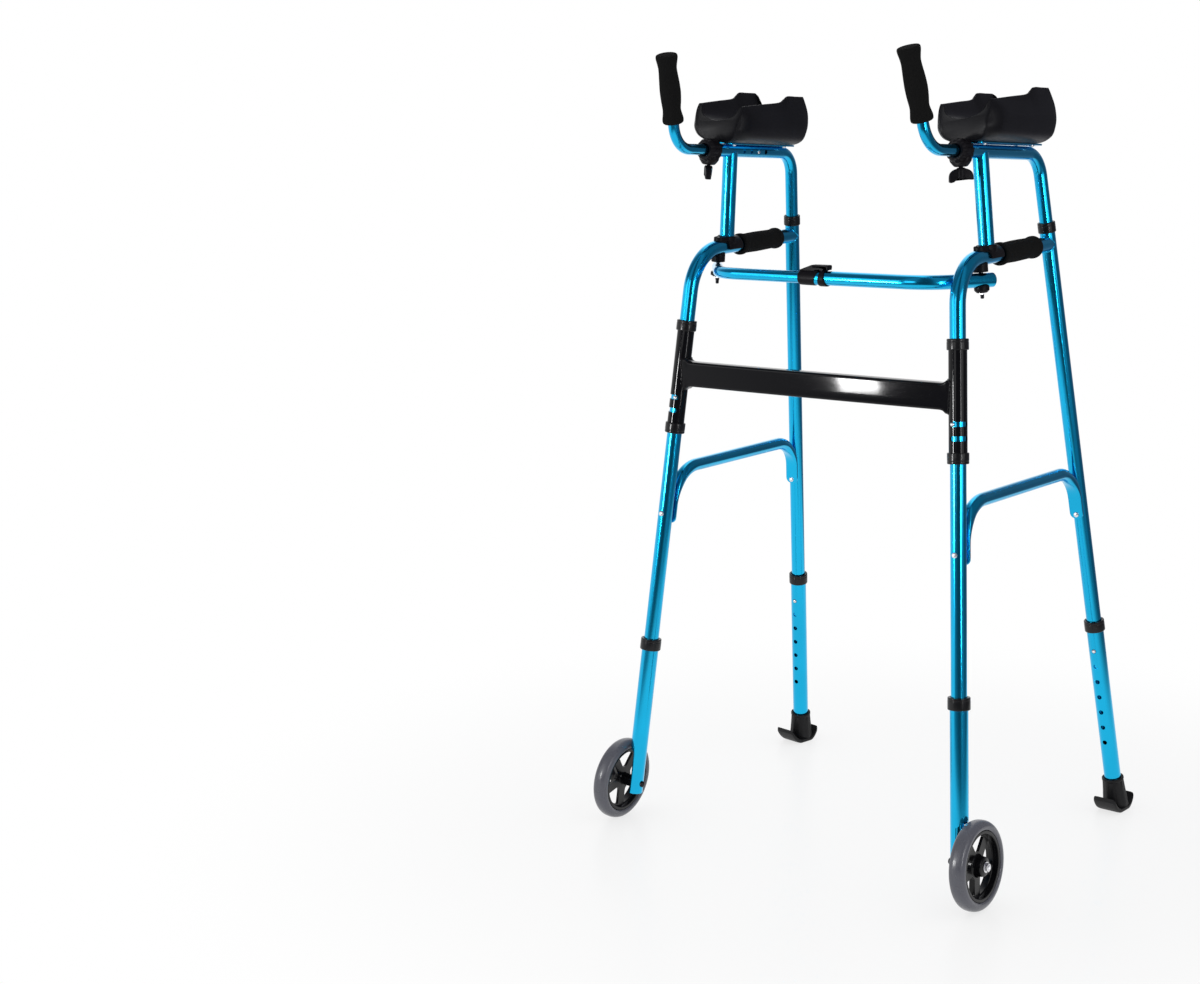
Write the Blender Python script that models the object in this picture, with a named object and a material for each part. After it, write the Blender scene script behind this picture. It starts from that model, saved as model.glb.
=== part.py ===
"""Folding platform walker, built piece by piece.

Each side of the walker is flat: front leg, handle, rear leg, brace, platform and
forearm trough all lie in one plane that leans inwards at the top. A side is drawn in
its own frame, whose axes are n (outwards from the walker), u (rearwards) and w (up
the side), and the other side is its mirror image. The pieces between the sides are
drawn in the walker's frame: x across, y rearwards, z up, floor at z = 0. Sizes are in
millimetres and become metres where an object is made. Left and right are the user's.
"""
import math

import bmesh
import bpy
from mathutils import Matrix, Vector

MM = 0.001
LEFT, CENTRE, RIGHT = 1, 0, -1
SIDE_NAMES = {LEFT: "left", RIGHT: "right"}

# Planes of the two sides
SIDE_HALF_WIDTH = 285.8
SIDE_TOE = 0.015
SIDE_LEAN = 0.079
FOOTPRINT_MIDDLE = 83.5

# Leg, handle and platform axes, each a straight line in the side's u and w
FRONT_FOOT_U, FRONT_LEAN = -150.0, 0.0837
REAR_FOOT_U, REAR_LEAN = 350.95, -0.1784
HANDLE_HEIGHT, HANDLE_RISE, HANDLE_BEND = 878.8, 0.039, 65.0
PLATFORM_HEIGHT, PLATFORM_RISE, PLATFORM_BEND = 1021.6, -0.036, 40.0
POST_U, POST_LEAN = 6.8, -0.05

# Tubes
MAIN_OD, LEG_OD, BRACE_OD = 22.2, 25.4, 19.0
PLATFORM_OD, POST_OD, GRIP_TUBE_OD = 19.0, 22.2, 16.0
BAR_OUTER_OD, BAR_INNER_OD = 20.0, 17.0
WALL = 1.1
FIT = 0.35
BUTTON_R = 3.1
BUTTON_HOLE_R = 3.55

# Leg adjustment
MAIN_END_W = 230.0
FRONT_COLLAR_W, FRONT_COLLAR_OD, FRONT_COLLAR_TALL = 280.9, 31.5, 17.5
REAR_COLLAR_W, REAR_COLLAR_OD, REAR_COLLAR_TALL = 302.9, 30.5, 17.0
IN_COLLAR = 5.1
FRONT_EXT_LOW, FRONT_EXT_HIGH = 45.5, FRONT_COLLAR_W + IN_COLLAR
REAR_EXT_LOW, REAR_EXT_HIGH = 27.0, REAR_COLLAR_W + IN_COLLAR
TOP_COLLAR_W, TOP_COLLAR_OD, TOP_COLLAR_TALL = 910.5, 25.6, 15.0
HOLE_PITCH, HOLE_COUNT, HOLE_TOP_W = 25.4, 7, 264.5

# Black cross member with its two sleeves
SLEEVE_LOW, SLEEVE_HIGH = 613.9, 766.9
SLEEVE_COLLAR_OD, SLEEVE_COLLAR_TALL = 30.0, 15.5
CROSS_HEIGHT, CROSS_TALL, CROSS_THICK, CROSS_CORNER = 694.0, 37.0, 20.0, 4.5
CROSS_BOW = 4.0
SLOT_LOCK_W, SLOT_PITCH, SLOT_TALL = 660.0, 19.5, 6.8
SLOT_SPARE_W = SLOT_LOCK_W - SLOT_PITCH
SLOT_FROM, SLOT_TO = -25.0, 100.0
LOCK_BUTTON_TURN = -10.0

# Side brace and its rivets
BRACE_W, BRACE_FRONT_BEND, BRACE_REAR_BEND = 548.0, 58.0, 52.0
BRACE_END_FRONT_W, BRACE_END_REAR_W, BRACE_FLAT = 466.0, 474.0, 4.4
BRACE_FLAT_LONG, BRACE_ROUND_OVER = 30.0, 50.0
RIVET_W, RIVET_R, RIVET_HEAD_R = 483.5, 2.4, 4.0

# Telescopic top bar, its pivots and its lock
PIVOT_U, PIVOT_BOLT_R, PIVOT_HOLE_R, PIVOT_HEAD_R = -14.0, 3.0, 4.4, 4.9
BAR_Z, BAR_Y, BAR_BEND = 845.0, -92.0, 64.0
BAR_TURN, BAR_PAST_PIVOT = {LEFT: 65.5, RIGHT: 54.0}, {LEFT: 19.0, RIGHT: 17.0}
BAR_OUTER_END_X, BAR_INNER_END_X = 1.0, 70.0
SPACER_OD, SPACER_TOP, PIVOT_GAP, WASHER_OD = 20.5, 7.0, 0.9, 21.0
SPACER_GAP = 1.3
LOCK_LOW_X, LOCK_HIGH_X, RING_LOW_X, RING_HIGH_X = -21.0, 7.5, 13.0, 23.0
LEVER_HINGE_X, LEVER_TIP_X, LEVER_LIFT, LEVER_THICK = 3.5, 26.4, 5.2, 2.8
LOCK_HALF_WIDTH = 6.5

# Wheels
WHEEL_R, WHEEL_WIDTH, WHEEL_OFFSET, AXLE_W = 62.5, 24.0, 26.0, 60.8
LEG_ARCH_UP, LEG_ARCH_LONG = 47.0, 90.0
RIM_R, RIM_IN_R, RIM_HALF, WEB_HALF = 49.2, 43.5, 10.0, 2.2
HUB_R, HUB_OUT, HUB_IN, AXLE_R = 9.5, 14.0, 33.0, 4.0
SPOKES, SPOKE_WIDTH, WINDOW_IN_R, WINDOW_OUT_R = 5, 13.0, 19.0, 42.0
WHEEL_SIDES = 25

# Rubber feet
FOOT_BACK, SOLE_WIDE, SOLE_FLAT, SOLE_THICK = 8.0, 37.0, 36.0, 7.0
FLAP_RISE, FLAP_FRONT_RUN, FLAP_REAR_RUN, FLAP_THICK = 24.0, 18.0, 11.0, 4.5
REAR_FLAP_SHARE = 0.8
SOCKET_TOP_W, SOCKET_TOP_R, SOCKET_LOW_R, SOCKET_FLOOR_W = 53.0, 16.0, 19.0, 24.0
FOOT_YAW = {LEFT: -3.0, RIGHT: -10.0}

# Foam handle grips
GRIP_FROM_U, GRIP_TO_U, GRIP_FLARE_R, GRIP_BODY_R = 38.0, 146.0, 16.25, 14.8

# Forearm platform
SADDLE_FROM_U, SADDLE_TO_U, SADDLE_R, SADDLE_BOSS_R, SADDLE_TOP = -4.0, 31.0, 14.6, 14.2, 16.2
TONGUE_R, TONGUE_HOLE_R, TONGUE_LOW = 8.0, 5.8, 5.5
PLATE_FROM_U, PLATE_TO_U, PLATE_WIDE, PLATE_THICK = -25.0, 156.0, 32.0, 2.5
SCREW_U, SCREW_N, SCREW_R, SCREW_HEAD_R = (-11.5, 126.5), 12.7, 2.2, 3.0
CLAMP_FROM_U, CLAMP_TO_U, CLAMP_R, CLAMP_STOP_U = -71.0, -45.0, 16.5, -61.0
KNOB_U, KNOB_TOP_W, KNOB_TALL, KNOB_R, KNOB_THICK = -55.0, 1000.5, 17.5, 16.5, 11.0
BOSS_R, BOSS_LOW_W = 10.0, 1002.2
KNOB_TURN = {LEFT: 38.0, RIGHT: 52.0}
REACH_HOLE_U, REACH_PITCH, REACH_HOLES = 63.5, 20.0, (-2, -1, 0, 1)

# Handgrip of the platform
GRIP_TUBE_END_U, GRIP_CORNER_U, GRIP_TUBE_BEND = 78.0, -141.5, 45.0
GRIP_LEAN, HAND_LOW, HAND_LONG = 106.2, 38.2, 98.3
HAND_R = 15.6

# Moulded forearm trough
TROUGH_GAP = 0.3
TROUGH_FRONT = ((1031.0, -35.0), (1048.0, -46.0), (1066.0, -43.5), (1088.5, -33.0))
TROUGH_BACK = ((1031.0, 134.0), (1045.0, 137.0), (1072.0, 136.0), (1103.0, 115.0))
TROUGH_RIM = ((0.0, 1088.5), (0.574, 1094.3), (0.736, 1103.2), (1.0, 1102.6))
TROUGH_HALF_FRONT, TROUGH_HALF_EAR, TROUGH_HALF_MAX = 39.5, 45.0, 48.6
TROUGH_FLOOR_FRONT, TROUGH_FLOOR_MID, TROUGH_FLOOR_BACK = 1066.0, 1061.0, 1058.0
TROUGH_BASE_HALF, TROUGH_RIM_THICK = 24.0, 4.5
TROUGH_SWELL = (6.5, 18.0, 30.0, 43.0)
TROUGH_LOW_RIM, TROUGH_EAR_LIFT = 1088.5, 0.3

SIDES = 16
BEND_STEP = 17.0
PEG_TURN = 7.0

MATERIALS = {
    "blue_tube": ((0.0, 0.33, 0.62), 0.22, 0.85),
    "black_paint": ((0.012, 0.012, 0.014), 0.18, 0.0),
    "black_plastic": ((0.02, 0.02, 0.022), 0.45, 0.0),
    "black_foam": ((0.012, 0.012, 0.013), 0.92, 0.0),
    "black_pad": ((0.014, 0.014, 0.016), 0.5, 0.0),
    "black_rubber": ((0.016, 0.016, 0.017), 0.7, 0.0),
    "grey_tyre": ((0.17, 0.17, 0.19), 0.45, 0.0),
    "zinc": ((0.72, 0.72, 0.74), 0.28, 1.0),
}


def side_matrix(side):
    """Frame of one side in the walker's frame, its columns being n outwards, u and w."""
    across = Vector((1, -side * SIDE_TOE, side * SIDE_LEAN)).normalized()
    along = Vector((side * SIDE_TOE, 1, 0)).normalized()
    up = across.cross(along)
    frame = Matrix((across, along, up)).transposed().to_4x4()
    frame.translation = (side * SIDE_HALF_WIDTH, 0, 0)
    return frame


def meet(p, d, q, e):
    """Point where two lines of the plane n = 0 cross, each a point and a direction."""
    cross = d.y * e.z - d.z * e.y
    along = ((q.y - p.y) * e.z - (q.z - p.z) * e.y) / cross
    return p + d * along


def front_axis(w):
    return Vector((0, FRONT_FOOT_U + FRONT_LEAN * w, w))


def rear_axis(w):
    return Vector((0, REAR_FOOT_U + REAR_LEAN * w, w))


def handle_axis(u):
    return Vector((0, u, HANDLE_HEIGHT + HANDLE_RISE * u))


def platform_axis(u):
    return Vector((0, u, PLATFORM_HEIGHT + PLATFORM_RISE * u))


OUT = Vector((1, 0, 0))
FRONT_DIR = (front_axis(1) - front_axis(0)).normalized()
REAR_DIR = (rear_axis(1) - rear_axis(0)).normalized()
HANDLE_DIR = (handle_axis(1) - handle_axis(0)).normalized()
PLATFORM_DIR = (platform_axis(1) - platform_axis(0)).normalized()
HANDLE_FRONT = meet(front_axis(0), FRONT_DIR, handle_axis(0), HANDLE_DIR)
HANDLE_REAR = meet(rear_axis(0), REAR_DIR, handle_axis(0), HANDLE_DIR)
PLATFORM_REAR = meet(rear_axis(0), REAR_DIR, platform_axis(0), PLATFORM_DIR)
POST_DIR = Vector((0, POST_LEAN, 1)).normalized()
POST_FOOT = handle_axis(POST_U) + HANDLE_DIR.cross(OUT) * -(SADDLE_TOP - 2.2)
POST_TOP = meet(POST_FOOT, POST_DIR, platform_axis(0), PLATFORM_DIR)
PIVOT = handle_axis(PIVOT_U)
PIVOT_DIR = OUT.cross(HANDLE_DIR)
BAR_DROP = (PIVOT.z - BAR_Z * math.hypot(1, SIDE_LEAN)) / PIVOT_DIR.z
BAR_POINT = PIVOT - PIVOT_DIR * BAR_DROP
AXLE = front_axis(AXLE_W) + OUT * WHEEL_OFFSET


def rounded(corners, bends):
    """Points along a line whose inner corners are bent to the given radii."""
    points = [corners[0]]
    for before, corner, after, radius in zip(corners, corners[1:], corners[2:], bends):
        to_start = (before - corner).normalized()
        to_end = (after - corner).normalized()
        turn = math.pi - to_start.angle(to_end)
        tangent = radius * math.tan(turn / 2)
        start = corner + to_start * tangent
        centre = corner + (to_start + to_end).normalized() * math.hypot(radius, tangent)
        spoke = start - centre
        axis = spoke.cross(-to_start).normalized()
        steps = max(2, round(math.degrees(turn) / BEND_STEP))
        for k in range(steps + 1):
            points.append(centre + Matrix.Rotation(turn * k / steps, 3, axis) @ spoke)
    return points + [corners[-1]]


def loft(rings, closed=False):
    """Skin a row of rings, either closed on itself or capped at both ends."""
    shape = bmesh.new()
    rows = [[shape.verts.new(p) for p in ring] for ring in rings]
    count = len(rows[0])
    pairs = list(zip(rows, rows[1:]))
    if closed:
        pairs.append((rows[-1], rows[0]))
    for low, high in pairs:
        for k in range(count):
            j = (k + 1) % count
            shape.faces.new((low[k], low[j], high[j], high[k]))
    if not closed:
        shape.faces.new(rows[0][::-1])
        shape.faces.new(rows[-1])
    bmesh.ops.recalc_face_normals(shape, faces=shape.faces)
    return shape


def circle(centre, across, along, radius, sides=SIDES, start=0.0):
    turns = [start + 2 * math.pi * k / sides for k in range(sides)]
    return [
        centre + across * (radius * math.cos(turn)) + along * (radius * math.sin(turn))
        for turn in turns
    ]


def pipe_rings(path, radii, normal, sides=SIDES):
    """Circles square to a path that stays in the plane with this normal."""
    rings = []
    for k, point in enumerate(path):
        before = (point - path[k - 1]).normalized() if k else None
        after = (path[k + 1] - point).normalized() if k + 1 < len(path) else None
        before, after = before or after, after or before
        tangent = (before + after).normalized()
        stretch = 1 / max(0.5, before.dot(tangent))
        along = tangent.cross(normal) * stretch
        rings.append(circle(point, normal, along, radii[k], sides, math.radians(PEG_TURN)))
    return rings


def pipe(path, radius, bore=0.0, normal=OUT, sides=SIDES):
    """Round bar, or tube open at both ends, along a path."""
    rings = pipe_rings(path, [radius] * len(path), normal, sides)
    if not bore:
        return loft(rings)
    inside = pipe_rings(path, [bore] * len(path), normal, sides)
    return loft(rings + inside[::-1], closed=True)


def frame_on(point, axis, across=OUT):
    """Matrix that stands z on the axis, with x as near to the given direction as can be."""
    axis = axis.normalized()
    side = (across - axis * across.dot(axis)).normalized()
    matrix = Matrix((side, axis.cross(side), axis)).transposed().to_4x4()
    matrix.translation = point
    return matrix


def lathe(profile, point, axis, across=OUT, hollow=True, sides=SIDES, phase=0.0):
    """Turned body from (radius, height) points, a closed ring where it is hollow."""
    matrix = frame_on(point, axis, across) @ Matrix.Rotation(math.radians(phase), 4, "Z")
    rings = [
        [matrix @ v for v in circle(Vector((0, 0, h)), Vector((1, 0, 0)), Vector((0, 1, 0)), r, sides)]
        for r, h in profile
    ]
    return loft(rings, closed=hollow)


def peg(start, end, radius, sides=8, across=None):
    """Round bar between two points, used for pins and for the holes they go in."""
    axis = end - start
    across = across or (OUT if abs(axis.normalized().dot(OUT)) < 0.9 else Vector((0, 1, 0)))
    ends = [(radius, 0), (radius, axis.length)]
    return lathe(ends, start, axis, across, False, sides, PEG_TURN)


def prism(outline, offset, matrix=None):
    """Flat outline, given in x and z, made solid by running it from -y to +y."""
    matrix = matrix or Matrix()
    return loft([[matrix @ Vector((x, y, z)) for x, z in outline] for y in (-offset, offset)])


def moved(shape, matrix):
    bmesh.ops.transform(shape, matrix=matrix, verts=shape.verts)
    if matrix.determinant() < 0:
        bmesh.ops.reverse_faces(shape, faces=shape.faces)
    return shape


def together(*shapes):
    """Several shapes that don't touch, as one."""
    whole = shapes[0]
    for shape in shapes[1:]:
        mesh = bpy.data.meshes.new("part")
        shape.to_mesh(mesh)
        whole.from_mesh(mesh)
        bpy.data.meshes.remove(mesh)
        shape.free()
    return whole


def clear_scene():
    for thing in list(bpy.data.objects):
        bpy.data.objects.remove(thing, do_unlink=True)


def parent_empty(name, side):
    empty = bpy.data.objects.new(name, None)
    bpy.context.scene.collection.objects.link(empty)
    frame = side_matrix(side) if side else Matrix()
    frame.translation = (frame.translation - Vector((0, FOOTPRINT_MIDDLE, 0))) * MM
    empty.matrix_world = frame
    return empty


def principled(name, slot):
    colour, roughness, metallic = MATERIALS[slot]
    material = bpy.data.materials.new(name)
    material.use_nodes = True
    shader = material.node_tree.nodes["Principled BSDF"]
    shader.inputs["Base Color"].default_value = (*colour, 1)
    shader.inputs["Roughness"].default_value = roughness
    shader.inputs["Metallic"].default_value = metallic
    material.diffuse_color = (*colour, 1)
    return material


class Side:
    """Makes the objects of one side, or of the middle, from shapes in its own frame."""

    def __init__(self, side):
        self.side = side
        label = SIDE_NAMES.get(side, "middle")
        self.suffix = f"_{label}" if side else ""
        self.empty = parent_empty(f"frame_{label}", side)

    def mesh(self, name, shape, origin):
        """Mesh of the shape about its origin, mirrored for the right side."""
        mirror = Matrix.Diagonal((self.side or 1, 1, 1, 1))
        moved(shape, mirror @ Matrix.Translation(-origin))
        moved(shape, Matrix.Scale(MM, 4))
        mesh = bpy.data.meshes.new(name)
        shape.to_mesh(mesh)
        shape.free()
        return mesh

    def thing(self, name, shape, origin):
        thing = bpy.data.objects.new(name, self.mesh(name, shape, origin))
        bpy.context.scene.collection.objects.link(thing)
        thing.parent = self.empty
        thing.location = Vector(((self.side or 1) * origin.x, origin.y, origin.z)) * MM
        return thing

    def add(self, name, shape, slot, origin=Vector(), smooth=35.0):
        """One finished piece, with its own material and with round faces shaded smooth."""
        name += self.suffix
        thing = self.thing(name, shape, origin)
        thing["origin_mm"] = tuple(origin)
        thing.data.materials.append(principled(name, slot))
        thing.data.shade_smooth()
        thing.data.set_sharp_from_angle(angle=math.radians(smooth))
        return thing

    def combine(self, thing, shape, operation):
        """Joins a shape to a piece, or cuts it out, and keeps the tool editable."""
        origin = Vector(thing["origin_mm"])
        tool = self.thing(f"{thing.name}_tool_{len(thing.modifiers)}", shape, origin)
        tool.data.shade_smooth()
        tool.data.set_sharp_from_angle(angle=math.radians(35.0))
        tool.hide_render = True
        tool.display_type = "WIRE"
        modifier = thing.modifiers.new(tool.name, "BOOLEAN")
        modifier.solver = "EXACT"
        modifier.operation = operation
        modifier.object = tool

    def join(self, thing, shape):
        self.combine(thing, shape, "UNION")

    def cut(self, thing, shape):
        self.combine(thing, shape, "DIFFERENCE")


def spring_button(carrier_bore, reach):
    """Snap button on its folded leaf spring: x points out of the tube, z runs along it."""
    leaf = 0.8
    wide = carrier_bore * 0.9
    bottom = -2.4 * wide
    outline = [
        (wide, 5.0), (wide, bottom * 0.66), (wide * 0.5, bottom), (-wide * 0.5, bottom),
        (-wide, bottom * 0.66), (-wide, 3.0), (-wide + leaf, 3.0), (-wide + leaf, bottom * 0.64),
        (-wide * 0.45, bottom + leaf), (wide * 0.45, bottom + leaf),
        (wide - leaf, bottom * 0.64), (wide - leaf, 5.0),
    ]
    head = [(BUTTON_R, wide - leaf * 0.5), (BUTTON_R, reach - 1.0), (BUTTON_R * 0.6, reach)]
    return prism(outline, 2.0), head


def add_button(side, name, carrier_bore, reach, matrix):
    """Places a snap button; the matrix takes x out of the tube and z along it."""
    leaf, head = spring_button(carrier_bore, reach)
    out = matrix.to_3x3() @ Vector((1, 0, 0))
    origin = matrix.translation.copy()
    button = side.add(name, moved(leaf, matrix), "zinc", origin)
    side.join(button, lathe(head, origin, out, matrix.to_3x3() @ Vector((0, 0, 1)), False, 10))


def collar(point, axis, outer, tall, low_bore, high_bore, step=0.5):
    """Bushing with rounded edges whose bore steps down from one tube to the next."""
    half, edge = tall / 2, 1.4
    profile = [
        (low_bore, -half), (outer - edge, -half), (outer, edge - half), (outer, half - edge),
        (outer - edge, half), (high_bore, half), (high_bore, tall * step - half),
        (low_bore, tall * step - half),
    ]
    return lathe(profile, point, axis)


def facing(point, axis, turn):
    """Frame on a leg whose x points forwards, turned by some degrees towards the outside."""
    matrix = frame_on(point, axis, Vector((0, -1, 0)))
    return matrix @ Matrix.Rotation(math.radians(turn), 4, "Z")


LEG_BORE = LEG_OD / 2 - WALL
MAIN_BORE = MAIN_OD / 2 - WALL


def add_side_frame(side):
    """Front leg tube, handle and rear leg tube, bent and welded into one frame."""
    line = [front_axis(MAIN_END_W), HANDLE_FRONT, HANDLE_REAR]
    rear = [rear_axis(MAIN_END_W), rear_axis(TOP_COLLAR_W + 1.5)]
    frame = side.add("side_frame", pipe(rounded(line, [HANDLE_BEND]), MAIN_OD / 2), "blue_tube",
                     front_axis(0))
    side.join(frame, pipe(rear, MAIN_OD / 2))
    short = HANDLE_REAR - HANDLE_DIR * (MAIN_OD / 2 + WALL)
    bore = [front_axis(MAIN_END_W - 5), HANDLE_FRONT, short]
    side.cut(frame, pipe(rounded(bore, [HANDLE_BEND]), MAIN_BORE))
    side.cut(frame, pipe([rear[0] - REAR_DIR * 5, rear[1] + REAR_DIR * 5], MAIN_BORE))
    lock = facing(front_axis(SLOT_LOCK_W), FRONT_DIR, LOCK_BUTTON_TURN)
    top = rear_axis(HOLE_TOP_W)
    forward = REAR_DIR.cross(OUT)
    forward = forward if forward.y < 0 else -forward
    holes = [
        peg(lock @ Vector((MAIN_BORE - 4, 0, 0)), lock @ Vector((MAIN_OD, 0, 0)), BUTTON_HOLE_R),
        peg(top + forward * (MAIN_BORE - 4), top + forward * MAIN_OD, BUTTON_HOLE_R),
        peg(PIVOT - PIVOT_DIR * 20, PIVOT + PIVOT_DIR * 20, PIVOT_HOLE_R, 10),
        peg(*rivet_line(front_axis, FRONT_DIR, 20), RIVET_R + FIT),
        peg(*rivet_line(rear_axis, REAR_DIR, 20), RIVET_R + FIT),
    ]
    side.cut(frame, together(*holes))


def rivet_line(axis, direction, reach):
    """Two ends of a rivet that goes squarely through a leg, front end first."""
    forward = direction.cross(OUT)
    forward = forward if forward.y < 0 else -forward
    return axis(RIVET_W) + forward * reach, axis(RIVET_W) - forward * reach


def add_brace(side):
    """Bent brace: its flattened ends lie behind the front leg and before the rear leg."""
    stand = MAIN_OD / 2 + BRACE_FLAT / 2 + FIT
    behind_front = stand * math.hypot(1, FRONT_LEAN)
    before_rear = stand * math.hypot(1, REAR_LEAN)

    def front(w):
        return front_axis(w) + Vector((0, behind_front, 0))

    def rear(w):
        return rear_axis(w) - Vector((0, before_rear, 0))

    level = Vector((0, 1, 0))
    corner_front = meet(front(0), FRONT_DIR, Vector((0, 0, BRACE_W)), level)
    corner_rear = meet(rear(0), REAR_DIR, Vector((0, 0, BRACE_W)), level)
    line = [front(BRACE_END_FRONT_W), front(RIVET_W + 12), corner_front, corner_rear,
            rear(RIVET_W + 12), rear(BRACE_END_REAR_W)]
    path = [line[0], *rounded([line[1], corner_front, corner_rear, line[4]],
                              [BRACE_FRONT_BEND, BRACE_REAR_BEND]), line[-1]]
    rings = []
    full = BRACE_OD / 2
    for k, ring in enumerate(pipe_rings(path, [full] * len(path), OUT, 12)):
        centre = path[k]
        near = min((centre - line[0]).length, (centre - line[-1]).length)
        press = min(1.0, max(0.0, (near - BRACE_FLAT_LONG) / BRACE_ROUND_OVER))
        thick = BRACE_FLAT / BRACE_OD * (1 - press) + press
        wide = 1.12 * (1 - press) + press
        tangent = (path[min(k + 1, len(path) - 1)] - path[max(k - 1, 0)]).normalized()
        flat = tangent.cross(OUT)
        rings.append([
            centre + OUT * ((p - centre).dot(OUT) * wide) + flat * ((p - centre).dot(flat) * thick)
            for p in ring
        ])
    brace = side.add("side_brace", loft(rings), "blue_tube", front(BRACE_W))
    heads = []
    for axis, direction in ((front_axis, FRONT_DIR), (rear_axis, REAR_DIR)):
        start, end = rivet_line(axis, direction, 1)
        forward = (start - end).normalized()
        point = axis(RIVET_W)
        behind = axis is front_axis
        reach = MAIN_OD / 2 + FIT
        far = reach if behind else reach + BRACE_FLAT
        back = reach + BRACE_FLAT if behind else reach
        profile = [(RIVET_HEAD_R * 0.55, far + 2.0), (RIVET_HEAD_R, far + 0.6), (RIVET_HEAD_R, far),
                   (RIVET_R, far), (RIVET_R, -back), (RIVET_HEAD_R, -back),
                   (RIVET_HEAD_R * 0.9, -back - 1.2)]
        if behind:
            profile = [(r, h) for r, h in profile if h > -back + 2] + [(RIVET_R, 1.5 - back)]
        else:
            profile = [(RIVET_HEAD_R * 0.55, far + 2.0), (RIVET_HEAD_R, far + 0.6),
                       (RIVET_HEAD_R, far - 1.0), (RIVET_R, far - 1.0), (RIVET_R, -reach),
                       (RIVET_HEAD_R, -reach), (RIVET_HEAD_R * 0.7, -reach - 1.4)]
        heads.append(lathe(profile[::-1], point, forward, OUT, False, 10))
    side.join(brace, together(*heads))


def add_leg_parts(side):
    """Collars, extensions and the snap button of the rear leg."""
    side.add("rear_top_collar",
             collar(rear_axis(TOP_COLLAR_W), REAR_DIR, TOP_COLLAR_OD / 2, TOP_COLLAR_TALL,
                    MAIN_OD / 2 + FIT, PLATFORM_OD / 2 + FIT, 0.7),
             "black_plastic", rear_axis(TOP_COLLAR_W))
    side.add("rear_lower_collar",
             collar(rear_axis(REAR_COLLAR_W), REAR_DIR, REAR_COLLAR_OD / 2, REAR_COLLAR_TALL,
                    LEG_OD / 2 + FIT, MAIN_OD / 2 + FIT + 0.15, 0.85),
             "black_plastic", rear_axis(REAR_COLLAR_W))
    side.add("front_lower_collar",
             collar(front_axis(FRONT_COLLAR_W), FRONT_DIR, FRONT_COLLAR_OD / 2,
                    FRONT_COLLAR_TALL, LEG_OD / 2 + FIT, MAIN_OD / 2 + FIT + 0.15, 0.82),
             "black_plastic", front_axis(FRONT_COLLAR_W))
    rear = side.add("rear_extension",
                    pipe([rear_axis(REAR_EXT_LOW), rear_axis(REAR_EXT_HIGH)], LEG_OD / 2, LEG_BORE),
                    "blue_tube", rear_axis(REAR_EXT_LOW))
    holes = []
    for k in range(HOLE_COUNT):
        matrix = facing(rear_axis(HOLE_TOP_W) - REAR_DIR * (k * HOLE_PITCH), REAR_DIR, 0)
        holes.append(peg(matrix @ Vector((LEG_BORE - 5, 0, 0)), matrix @ Vector((LEG_OD, 0, 0)),
                         BUTTON_HOLE_R))
    side.cut(rear, together(*holes))
    add_button(side, "rear_snap_button", MAIN_BORE, LEG_OD / 2 + 1.6,
               facing(rear_axis(HOLE_TOP_W), REAR_DIR, 0))
    add_button(side, "front_snap_button", MAIN_BORE, LEG_OD / 2 + 1.6,
               facing(front_axis(SLOT_LOCK_W), FRONT_DIR, LOCK_BUTTON_TURN))
    front = side.add("front_extension",
                     pipe([front_axis(FRONT_EXT_LOW), front_axis(FRONT_EXT_HIGH)], LEG_OD / 2,
                          LEG_BORE),
                     "blue_tube", front_axis(FRONT_EXT_LOW))
    arch = LEG_OD / 2 + 0.4
    outline = [(-arch, -LEG_ARCH_LONG), (arch, -LEG_ARCH_LONG)]
    outline += [(arch * math.cos(a * math.pi / 8), arch * math.sin(a * math.pi / 8))
                for a in range(9)]
    matrix = frame_on(front_axis(AXLE_W + LEG_ARCH_UP), FRONT_DIR, Vector((0, 1, 0)))
    opening = prism(outline, LEG_OD, matrix)
    inner = min(v.co.x for v in opening.verts)
    bmesh.ops.translate(opening, verts=opening.verts, vec=(0.6 - inner, 0, 0))
    side.cut(front, opening)
    axle = front_axis(AXLE_W)
    side.cut(front, peg(axle - OUT * LEG_OD, axle - OUT * 2, AXLE_R + FIT, 10))


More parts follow.
